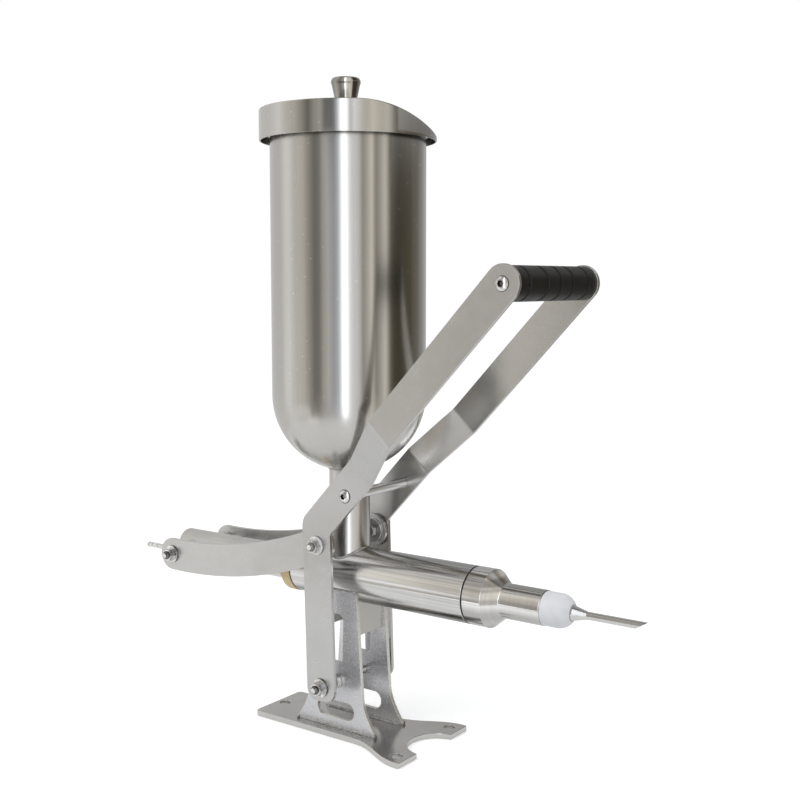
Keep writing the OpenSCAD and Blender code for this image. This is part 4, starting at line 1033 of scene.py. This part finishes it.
def buildBase(shape):
    # half outline: rear corner, side that swings out as half a cosine wave, toe corner, round cut;
    # then its mirror image
    rear, front, half, toeHalf = (shape[k] for k in ("rear", "front", "half", "toeHalf"))
    u = np.linspace(0, 1, 17)
    side = np.stack([shape["toeStart"] + (front - shape["toeFlat"] - shape["toeStart"]) * u,
                     half + (toeHalf - half) * (1 - np.cos(np.pi * u)) / 2], 1)
    gap = np.linspace(math.acos((front - shape["gapAt"]) / shape["gapRadius"]), np.pi, 20)
    cut = np.stack([shape["gapAt"] + shape["gapRadius"] * np.cos(gap), shape["gapRadius"] * np.sin(gap)], 1)
    corner = softCorners([[-rear, 0], [-rear, half], [0, half]], [0, shape["corner"], 0], 8, False)[1:-1]
    toe = softCorners([side[-1], [front, toeHalf], [front, shape["toeInner"]]], [0, shape["toeCorner"], 0], 6,
                      False)[1:-1]
    loop = np.concatenate([corner, side, toe, cut])
    outline = np.concatenate([loop, (loop[:-1] * [1, -1])[::-1]])
    holes = [circleLoop(at, shape["hole"]) for at in shape["holesAt"]]
    return cutPlate(outline, holes, shape["thick"], lambda x, y, w: np.stack([x, y, w], -1), shape["edge"])


standShape = {"foot": 49.5, "waist": 33.5, "top": 26.0, "footTop": 7.5, "flare": 34.0, "flareCurve": 1.6,
              "seamHeight": 146.0, "windowTop": 121.5, "windowHeight": 48.0, "windowWidth": 21.0,
              "slotLength": 46.0, "slotHeight": 17.5, "slotZ": 24.5, "slotRound": 8.4, "axleHole": 4.1,
              "thickness": 4.0, "edge": 0.5, "barrelGap": 0.06, "barrelReach": 3.0}


def buildSidePlate(shape):
    # half outline from the foot: x = waist + out (1 - t)^1.6 up the flare, then straight to the barrel
    t = np.linspace(0, 1, 16)
    waist, seam = shape["waist"], shape["seamHeight"]
    flareTop = shape["footTop"] + shape["flare"]
    flare = np.stack([waist + (shape["foot"] - waist) * (1 - t) ** shape["flareCurve"],
                      shape["footTop"] + shape["flare"] * t], 1)
    rimX = waist + (shape["top"] - waist) * (seam - flareTop) / (axisHeight - flareTop)
    half = np.concatenate([[[shape["foot"], baseShape["thick"]]], flare, [[rimX, seam], [rimX * 0.5, seam]]])
    outline = np.concatenate([half, (half * [-1, 1])[::-1]])
    head, top = shape["windowWidth"] / 2, shape["windowTop"]
    foot, low = 0.85 * head, top - shape["windowHeight"]
    window = softCorners([[foot, low], [head, top], [-head, top], [-foot, low]], [3, 6, 6, 3], 6)
    reach, tall, middle = shape["slotLength"] / 2, shape["slotHeight"] / 2, shape["slotZ"]
    slot = softCorners([[reach, middle - tall], [reach, middle + tall], [-reach, middle + tall],
                        [-reach, middle - tall]], shape["slotRound"], 8)

    def place(u, v, w):
        # the upper edge follows the barrel: z = axis - sqrt(R^2 - y^2)
        y, radius = machine["plateInner"] + w, barrelShape["radius"] + shape["barrelGap"]
        z = np.where(v > seam - shape["barrelReach"], axisHeight - np.sqrt(radius ** 2 - y ** 2), v)
        return np.stack([u, y, z], -1)

    holes = [window, slot, circleLoop(pivot, shape["axleHole"])]
    return cutPlate(outline, holes, shape["thickness"], place, shape["edge"])


meshPiece("basePlate", [buildBase(baseShape)], "stand", baseSteel, "base_plate")
platePair(("sidePlateRight", "sidePlateLeft"), buildSidePlate(standShape), "stand", (standSteel, standSteel),
          ("side_plate_right", "side_plate_left"))


# Welds: ridged beads along the seams, tacks, and drops of spatter

weldShape = {
    "ripple": 0.16, "rippleLength": 1.6, "fade": 1.2, "neckOut": 0.4, "footUp": 0.3, "headDown": 0.2,
    "neckFoot": 1.1, "neckHead": 0.9,                                        # radii of the beads
    "seams": ((24.5, 24.1, 146.2, 0.9, 180), (46, 19.9, 5.7, 1.2, 320)),     # half length, y, z, radius, rings
    "tackY": 23.6, "tacks": ((26.4, 144.0), (-26.4, 144.0), (48.6, 7.2), (-48.6, 7.2)), "tackSize": 2.5}
spatterShape = {"seed": 7, "count": 420, "front": 44, "length": 74, "spread": 4.2, "reach": 11, "onPlate": 0.55,
                "crowding": 1.3, "size": 0.42, "sizeSpread": 0.55, "lowest": 6.0, "climb": 0.6, "strewn": 0.8}


def weldBead(path, radius, closed=False):
    # a tube along a seam; its radius swells once per ripple and dies away at the ends
    ahead = np.roll(path, -1, 0) - np.roll(path, 1, 0) if closed else np.gradient(path, axis=0)
    ahead = ahead / np.linalg.norm(ahead, axis=1)[:, None]
    run = np.concatenate([[0], np.cumsum(np.linalg.norm(np.diff(path, axis=0), axis=1))])
    size = radius * (1 + weldShape["ripple"] * np.sin(2 * np.pi * run / weldShape["rippleLength"]))
    if not closed:
        size = size * np.sqrt(np.clip(np.minimum(run, run[-1] - run) / weldShape["fade"], 0, 1))
    side = np.cross(ahead, np.array([0.03, 0.02, 1.0]))
    side = side / np.linalg.norm(side, axis=1)[:, None]
    up = np.cross(side, ahead)
    a = fullTurn(10)[None, :, None]
    rings = path[:, None] + size[:, None, None] * (np.cos(a) * side[:, None] + np.sin(a) * up[:, None])
    return solidFromRings(rings, closed)


def drops(centres, sizes, flatten):
    # flattened balls (sin t cos a, sin t sin a, cos t), all in one set of arrays
    t, a = np.linspace(0, np.pi, 6)[:, None], fullTurn(8)[None]
    ball = np.stack([np.sin(t) * np.cos(a), np.sin(t) * np.sin(a), np.cos(t) + 0 * a], -1)
    points = centres[:, None, None] + sizes[:, None, None, None] * ball[None] * flatten[:, None, None]
    number = np.arange(48).reshape(6, 8)
    number[0], number[5] = 0, 40
    faces = number.reshape(-1)[ringFaces(6, 8)]
    return points.reshape(-1, 3), (faces[None] + 48 * np.arange(len(centres))[:, None, None]).reshape(-1, 4)


def buildWelds(shape):
    # beads where the neck meets barrel and bowl, then on each side along the barrel and the base, and tacks
    a = fullTurn(320)
    r = hopperShape["neckRadius"] + shape["neckOut"]
    around = lambda z: np.stack([r * np.cos(a), r * np.sin(a), z + 0 * a], 1)
    foot = axisHeight + np.sqrt(barrelShape["radius"] ** 2 - (r * np.sin(a)) ** 2) + shape["footUp"]
    head = hopperShape["centre"] - math.sqrt(hopperShape["radius"] ** 2 - r ** 2) - shape["headDown"]
    parts = [weldBead(around(foot), shape["neckFoot"], True), weldBead(around(head), shape["neckHead"], True)]
    for side in (-1, 1):
        for half, y, z, radius, count in shape["seams"]:
            x = np.linspace(-half, half, count)
            parts.append(weldBead(np.stack([x, 0 * x + side * y, 0 * x + z], 1), radius))
    tacks = np.array([[x, y, z] for y in (-shape["tackY"], shape["tackY"]) for x, z in shape["tacks"]])
    flat = np.ones((len(tacks), 3)) * [0.8, 1.0, 1.0]
    return parts + [drops(tacks, np.full(len(tacks), shape["tackSize"]), flat)]


def buildSpatter(shape):
    # scattered with a fixed seed along the outer foot of both side plates, thickest towards the front
    pick, count, face = np.random.default_rng(shape["seed"]), shape["count"], machine["plateOuter"]
    x = shape["front"] - shape["length"] * pick.random(count) ** shape["crowding"]
    side = np.where(pick.random(count) < 0.5, -1.0, 1.0)
    reach = np.minimum(np.abs(pick.normal(0, shape["spread"], count)), shape["reach"])
    onPlate = pick.random(count) < shape["onPlate"]
    z = np.where(onPlate, shape["lowest"] + reach * shape["climb"], baseShape["thick"])
    y = side * np.where(onPlate, face, face + 0.6 + reach * shape["strewn"])
    size = shape["size"] + shape["sizeSpread"] * pick.random(count) ** 2
    flat = np.where(onPlate[:, None], np.array([[1, 0.5, 1.0]]), np.array([[1, 1.0, 0.5]]))
    return [drops(np.stack([x, y, z], 1), size, flat)]


meshPiece("weldBeads", buildWelds(weldShape), "stand", weldSteel)
meshPiece("weldSpatter", buildSpatter(spatterShape), "stand", spatterSteel)
print("stand done")

# finishes for the CAD solids that stay
stayFinish = {
    "front_web": webSteel, "rear_web": webSteel, "rod_seal": sealRubber, "lid_seat_ring": hopperSteel,
    "knob_screw": boltSteel, "rod_plug": rodSteel, "piston_head": holderPlastic, "piston_rings": sealRubber,
    "piston_screw": boltSteel, "crosshead_screw": boltSteel,
}
for nodeName, finish in stayFinish.items():
    for slotItem in cadNodes[nodeName].material_slots:
        slotItem.material = finish
print("kept solids finished")


# Studio: pale floor, soft lamps, and walls that only the polished steel sees; lengths in metres

studio = {"wallRadius": 0.62, "wallTop": 1.65, "wallFoot": 0.03, "wallScale": 4, "floorGlow": 0.95,
          "camera": (0.7175, -0.8955, 0.4455), "tilt": 84.25, "turn": 36.22, "lens": 52.9,
          "ceiling": 0.38, "ceilingHalf": 2.4, "floorHalf": 30.0, "floorZ": -0.0004,
          "floorLift": 0.42, "floorShine": 0.18, "skyLevel": 0.80, "lampLevel": 14.0}
# light round the walls: degrees to the right of the camera seen from the machine, level, warmth
wallLevels = [
    (-180, 0.60, 0), (-154, 0.72, 0), (-125, 0.80, 0.2), (-107, 0.88, 0.2), (-93, 1.04, 0.2), (-80, 0.76, 0.5),
    (-67, 0.66, 1.0), (-58, 0.46, 1.0), (-47, 0.33, 1.0), (-36, 0.50, 0.6), (-27, 0.62, 0.2), (-18, 0.66, -0.7),
    (-12, 0.95, -0.9), (-8, 2.8, -0.4), (-4, 3.2, -0.3), (-1, 1.6, -0.3), (3, 1.10, -0.3), (11, 0.88, 0.1),
    (21, 0.56, 0.8), (30, 0.76, 1.0), (40, 0.58, 1.0), (50, 0.72, 0.8), (54, 0.66, 0.8), (59, 0.13, 2.6),
    (75, 0.10, 3.0), (98, 0.13, 3.0), (113, 0.28, 1.4), (121, 0.45, 0.5), (136, 0.50, 0), (155, 0.52, 0),
    (180, 0.60, 0)]
# cards before the walls: degrees to the right of the camera, distance, half width, lower and upper edge, level
cards = {"barrelCard": (-72, 0.58, 0.15, 0.10, 0.21, 1.0), "lidCard": (90, 0.53, 0.29, 0.632, 0.78, 0.50),
         "lidShade": (-23, 0.55, 0.06, 0.628, 0.78, 0.30), "footStrip": (-57, 0.59, 0.10, 0.001, 0.020, 2.8)}
cameraTurn = math.atan2(studio["camera"][0], -studio["camera"][1])


def studioSheet(name, corners, material, faces=((0, 1, 2, 3),)):
    mesh = bpy.data.meshes.new(name)
    mesh.from_pydata([tuple(c) for c in corners], [], [tuple(f) for f in faces])
    mesh.materials.append(material)
    return placeObject(name, mesh)


def levelSheet(name, half, z, material):
    return studioSheet(name, [(-half, -half, z), (half, -half, z), (half, half, z), (-half, half, z)], material)


def plainEmitter(name, level, warm):
    return newMaterial(name, "Emission", {0: (level, level * (1 - 0.015 * warm), level * (1 - 0.04 * warm))})[0]


def wallLight():
    # the direction as seen from the machine, atan2(x, -y) less the camera's, is looked up in wallLevels
    scale, foot = studio["wallScale"], studio["floorGlow"] / studio["wallScale"]
    material, tree, glow = newMaterial("studioWallLight", "Emission", {1: float(scale)})
    split = addNode(tree, "SeparateXYZ", {0: ownPlace(tree)}).outputs
    angle = mathNode(tree, "ARCTAN2", split[0], mathNode(tree, "MULTIPLY", split[1], -1.0))
    turn = mathNode(tree, "WRAP", mathNode(tree, "SUBTRACT", angle, cameraTurn), math.pi, -math.pi)
    light = ramp(tree, mapRange(tree, turn, 0.0, 1.0, -math.pi, math.pi), [
        ((d + 180) / 360, (v / scale * (1 + 0.06 * w), v / scale, v / scale * (1 - 0.10 * w)))
        for d, v, w in wallLevels])
    # near the floor the walls fade into its own level
    height = mapRange(tree, split[2], 0.0, 1.0, 0.0, studio["wallFoot"])
    setInputs(tree, glow, {0: mixColours(tree, (foot, foot, foot), light, height)})
    return material


def buildWalls():
    # a round wall about the machine: (r cos a, r sin a, z), seen from inside
    a, r, z = fullTurn(96), studio["wallRadius"], np.array([0.0, studio["wallTop"]])[:, None]
    rings = np.stack([r * np.cos(a) + 0 * z, r * np.sin(a) + 0 * z, z + 0 * a], -1)
    return studioSheet("studioWalls", rings.reshape(-1, 3), wallLight(), ringFaces(2, 96)[:, ::-1].tolist())


def uprightCard(name, degrees, radius, half, low, high, level):
    # a card that faces the machine: out * radius + side * half, from low to high
    a = cameraTurn + math.radians(degrees)
    out, side = np.array([math.sin(a), -math.cos(a), 0]), np.array([math.cos(a), math.sin(a), 0])
    corners = [out * radius + side * half * k + np.array([0, 0, z])
               for k, z in ((-1, low), (1, low), (1, high), (-1, high))]
    return studioSheet(name, corners, plainEmitter(name, level, 0.0))


surround = [buildWalls(), levelSheet("studioCeiling", studio["ceilingHalf"], studio["wallTop"],
                                     plainEmitter("ceilingGrey", studio["ceiling"], 1.0))]
surround += [uprightCard(name, *values) for name, values in cards.items()]
for thing in surround:
    for ray in ("camera", "diffuse", "transmission", "volume_scatter", "shadow"):
        setattr(thing, "visible_" + ray, False)

floorMaterial, tree, skin = newMaterial("paleFloor")
rays = addNode(tree, "LightPath").outputs
shine = mathNode(tree, "MULTIPLY", rays["Is Glossy Ray"], studio["floorShine"])
pale = ramp(tree, noise(tree, 3.0, (1, 1, 1), 4.0, 0.55), [(0.3, (0.74, 0.74, 0.74)), (0.7, (0.76, 0.76, 0.76))])
setInputs(tree, skin, {
    "Base Color": pale, "Roughness": 0.9, "Specular IOR Level": 0.0, "Emission Color": (1, 1, 1),
    "Emission Strength": mathNode(tree, "MULTIPLY_ADD", rays["Is Camera Ray"], studio["floorLift"], shine)})
floor = levelSheet("studioFloor", studio["floorHalf"], studio["floorZ"], floorMaterial)

# the world is white where it is seen or reflected, and a plain sky where it lights
world = bpy.data.worlds.new("studioWorld")
bpy.context.scene.world = world
world.use_nodes = True
tree = world.node_tree
tree.nodes.clear()
sky = addNode(tree, "Background", {0: (0.98, 0.99, 1.0), 1: studio["skyLevel"]})
white = addNode(tree, "Background", {0: (1, 1, 1), 1: 1.0})
rays = addNode(tree, "LightPath").outputs
seen = mathNode(tree, "MAXIMUM", rays["Is Camera Ray"], rays["Is Glossy Ray"])
seen = mathNode(tree, "MAXIMUM", seen, rays["Is Transmission Ray"])
blend = addNode(tree, "MixShader", {0: seen, 1: sky.outputs[0], 2: white.outputs[0]})
addNode(tree, "OutputWorld", {0: blend.outputs[0]})


def softLamp(name, place, power, target=(0, 0, 0.3), size=1.2):
    data = bpy.data.lights.new(name, "AREA")
    data.size, data.energy = size, power
    lamp = placeObject(name, data)
    lamp.location = place
    direction = np.array(target) - np.array(place)
    lamp.rotation_euler = (math.acos(-direction[2] / np.linalg.norm(direction)), 0,
                           math.atan2(direction[0], -direction[1]) + math.pi)
    lamp.visible_glossy = False


softLamp("keyLamp", (-0.6, -1.3, 1.7), studio["lampLevel"])
softLamp("fillLamp", (1.6, -0.4, 1.3), studio["lampLevel"] * 0.4)

cameraData = bpy.data.cameras.new("photoCamera")
cameraData.sensor_width, cameraData.lens = 36.0, studio["lens"]
cameraData.clip_end = 100
camera = placeObject("photoCamera", cameraData)
camera.location = studio["camera"]
camera.rotation_euler = (math.radians(studio["tilt"]), 0, math.radians(studio["turn"]))
bpy.context.scene.camera = camera
bpy.context.scene.view_settings.view_transform = "Standard"
print("studio done")
